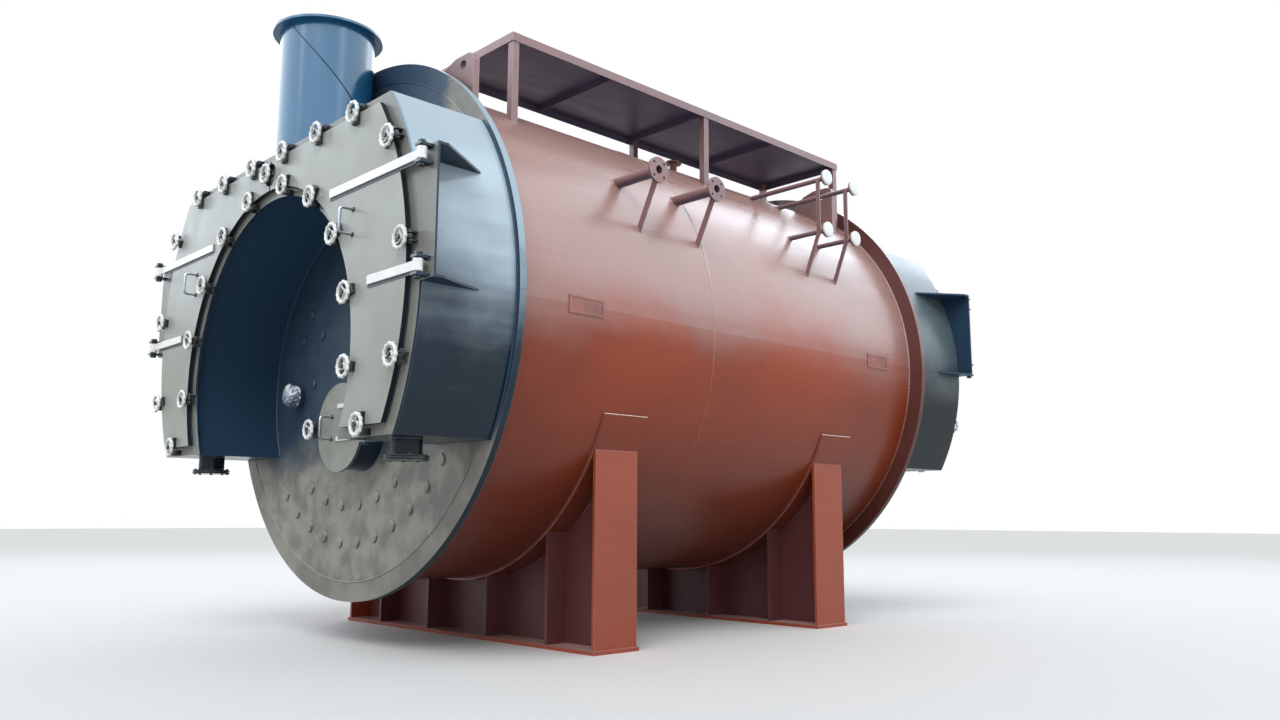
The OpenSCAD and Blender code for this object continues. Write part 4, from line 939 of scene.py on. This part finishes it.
# the first 0.6 of the way out runs over the face, the rest back over the rim
rim_u = np.linspace(0, 1, 14)[:, None]
rim_t = full_turn(60)[None, :]
folds = 0.5 * np.sin(11 * rim_t) + 0.3 * np.sin(17 * rim_t + 1) + 0.2 * np.sin(26 * rim_t + 2)
round_u = np.clip(rim_u / 0.6, 0, 1)
over_u = np.clip((rim_u - 0.6) / 0.4, 0, 1)
fold_height, crown_height = 0.0022, 0.006
cover_ring = (cover_r - 0.001) * np.sin(round_u * np.pi / 2) ** 0.6 + fold_height * folds * over_u
cover_deep = (cover_front - crown_height * (1 - np.cos(round_u * np.pi / 2))
              - (cover_front - cover_back - crown_height) * over_u)
cover_deep = cover_deep + 0.0008 * np.sin(3 * rim_t + 9 * rim_u) * (1 - over_u) * round_u
cover = np.stack([cover_deep + 0 * rim_t, cover_ring * np.cos(rim_t), cover_ring * np.sin(rim_t)], -1)
cover[0] = cover[0].mean(0)
cover = np.concatenate([cover, np.broadcast_to([[cover_back, 0, 0]], (1, 60, 3))])
cover_places = [(0, y, axis_z + z) for y in gauge_ys for z in gauge_zs]
piece("gauge_covers_folded", [copies((cover.reshape(-1, 3), quads(15, 60, False, True)), cover_places)],
      white_paint, smooth_deg=50, replaced=("gauge_covers",))


# Drain flanges
# Under each leg a short pipe, welded to the box, ends in a flange with a blind flange under it, drawn up on a joint
# ring by eight bolts.
drain_low, drain_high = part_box("drain_nozzles")
drain_r, drain_flange_r, flange_pair, bolt_circle_r, drain_bead_mm = 0.078, 0.112, 0.025, 0.095, 8
drain_x, drain_y = drain_high.x - drain_flange_r, (drain_low.y + drain_high.y) / 2
neck_z = drain_low.z + flange_pair
drain_bolt = joined(turned([(0, -0.0295), (0.007, -0.0295), (0.008, -0.029), (0.008, -0.025), (0, -0.025)], 6),
                    turned([(0, -0.026), (0.005, -0.026), (0.005, 0.009), (0.004, 0.010), (0, 0.010)], 8),
                    turned([(0, -0.0005), (0.008, -0.0005), (0.008, 0.006), (0.007, 0.007), (0, 0.007)], 6))
bolt_a = np.radians(22.5 + 45 * np.arange(8))
bolt_places = np.stack([drain_x + bolt_circle_r * np.cos(bolt_a), drain_y + bolt_circle_r * np.sin(bolt_a),
                        np.full(8, neck_z)], -1)
drain_beads = [bead(hoop((drain_x, drain_y, z), drain_r, 60, 2), drain_bead_mm, True, up=(0, 0, 1))
               for z in (drain_high.z, neck_z)]
# Thick glossy black enamel, flowed on with a brush; its pale edge colour is a painted highlight, sharp bright lines
# along the pipes and flanges.
drain_black = brushed_paint("black_enamel_glossy_on_drains", "#152531", "#8FA6B2", "#0D161E", 0.16,
                            glare_from=0.3, glare_to=0.9, stroke_mm=60, patch=0.5, wear="#B9C6CD", gloss=0.25)
wear_paint(drain_black, "drain_nozzles")
piece("drain_bolts_and_welds", left_too([copies(drain_bolt, bolt_places)] + drain_beads), drain_black)


# Rear smoke box
# The same welded plate box at the far end, closed by doors of the same outline. It was sprayed in a greyer black,
# with less painted sky glare than the front, and its ears are in the front arch's deep blue black.
# Black enamel over a grey coat, sprayed: duller and greener than the front, with a painted mid grey sky reflection
# where it faces up.
rear_black = brushed_paint("grey_black_enamel", "#18242A", "#6A7A80", "#12191D", 0.30,
                           glare_from=-0.20, glare_to=0.14, glare_most=0.65, stroke_mm=140, patch=0.4, streak=0.4,
                           wear="#7E8B94", gloss=0.22)
wear_paint(rear_black, "rear_box_walls", "rear_box_flats", "rear_box_frame", "rear_doors")
wear_paint(arch_black, "rear_ears")


# Studio
# A pale matt floor under the saddles, a soft sky and a low wide sun. They aren't part of the boiler. The sky lights
# it at a plain level, and looks white to the camera and in the gloss.
floor_half = 60
floor_mesh = bpy.data.meshes.new("floor")
floor_mesh.from_pydata([(-floor_half, -floor_half, 0), (floor_half, -floor_half, 0),
                        (floor_half, floor_half, 0), (-floor_half, floor_half, 0)], [], [(0, 1, 2, 3)])
floor = bpy.data.objects.new("floor", floor_mesh)
bpy.context.scene.collection.objects.link(floor)
floor_finish = bpy.data.materials.new("pale_floor")
floor_finish.use_nodes = True
floor_shader = floor_finish.node_tree.nodes["Principled BSDF"]
floor_shader.inputs["Base Color"].default_value = linear("#E6E6E4")
floor_shader.inputs["Roughness"].default_value = 0.9
floor_mesh.materials.append(floor_finish)

sky = bpy.data.worlds.new("soft_sky")
sky.use_nodes = True
bpy.context.scene.world = sky
tree = sky.node_tree
plain = tree.nodes["Background"]
plain.inputs["Color"].default_value = linear("#EEF3F8")
plain.inputs["Strength"].default_value = 0.62
seen = add_node(tree, "Background", {"Color": (1, 1, 1, 1), "Strength": 1.0})
ray = add_node(tree, "LightPath").outputs
white = ray["Is Camera Ray"]
for kind in ("Is Glossy Ray", "Is Transmission Ray"):
    white = add_node(tree, "Math", {0: white, 1: ray[kind]}, operation="MAXIMUM")
mixed = add_node(tree, "MixShader", {0: white, 1: plain, 2: seen})
tree.links.new(live_output(mixed), tree.nodes["World Output"].inputs["Surface"])

sun = bpy.data.objects.new("soft_key", bpy.data.lights.new("soft_key", "SUN"))
sun.data.energy = 1.4
sun.data.angle = math.radians(40)
sun.matrix_world = Matrix.Rotation(math.radians(35), 4, "Z") @ Matrix.Rotation(math.radians(42), 4, "X")
bpy.context.scene.collection.objects.link(sun)

# Four broad white panels stand round the boiler and light its gloss only, as an open sky would, so the enamel and
# the primer show their sheen and the colours under it stay as they are.
panel_wide, panel_high, panel_off, panel_rise, panel_watts = 24, 12, 13, 36, 3000
for turn in (0, 90, 180, 270):
    panel = bpy.data.objects.new("sky_panel_%d" % turn, bpy.data.lights.new("sky_panel_%d" % turn, "AREA"))
    panel.data.shape = "RECTANGLE"
    panel.data.size, panel.data.size_y = panel_wide, panel_high
    panel.data.energy = panel_watts
    panel.data.color = linear("#DCEBF8")[:3]
    panel.visible_diffuse = panel.visible_camera = False
    panel.matrix_world = (Matrix.Translation((0, 1, axis_z)) @ Matrix.Rotation(math.radians(turn - 45), 4, "Z")
                          @ Matrix.Rotation(math.radians(90 - panel_rise), 4, "X")
                          @ Matrix.Translation((0, 0, panel_off)))
    bpy.context.scene.collection.objects.link(panel)
bpy.context.scene.view_settings.view_transform = "Standard"
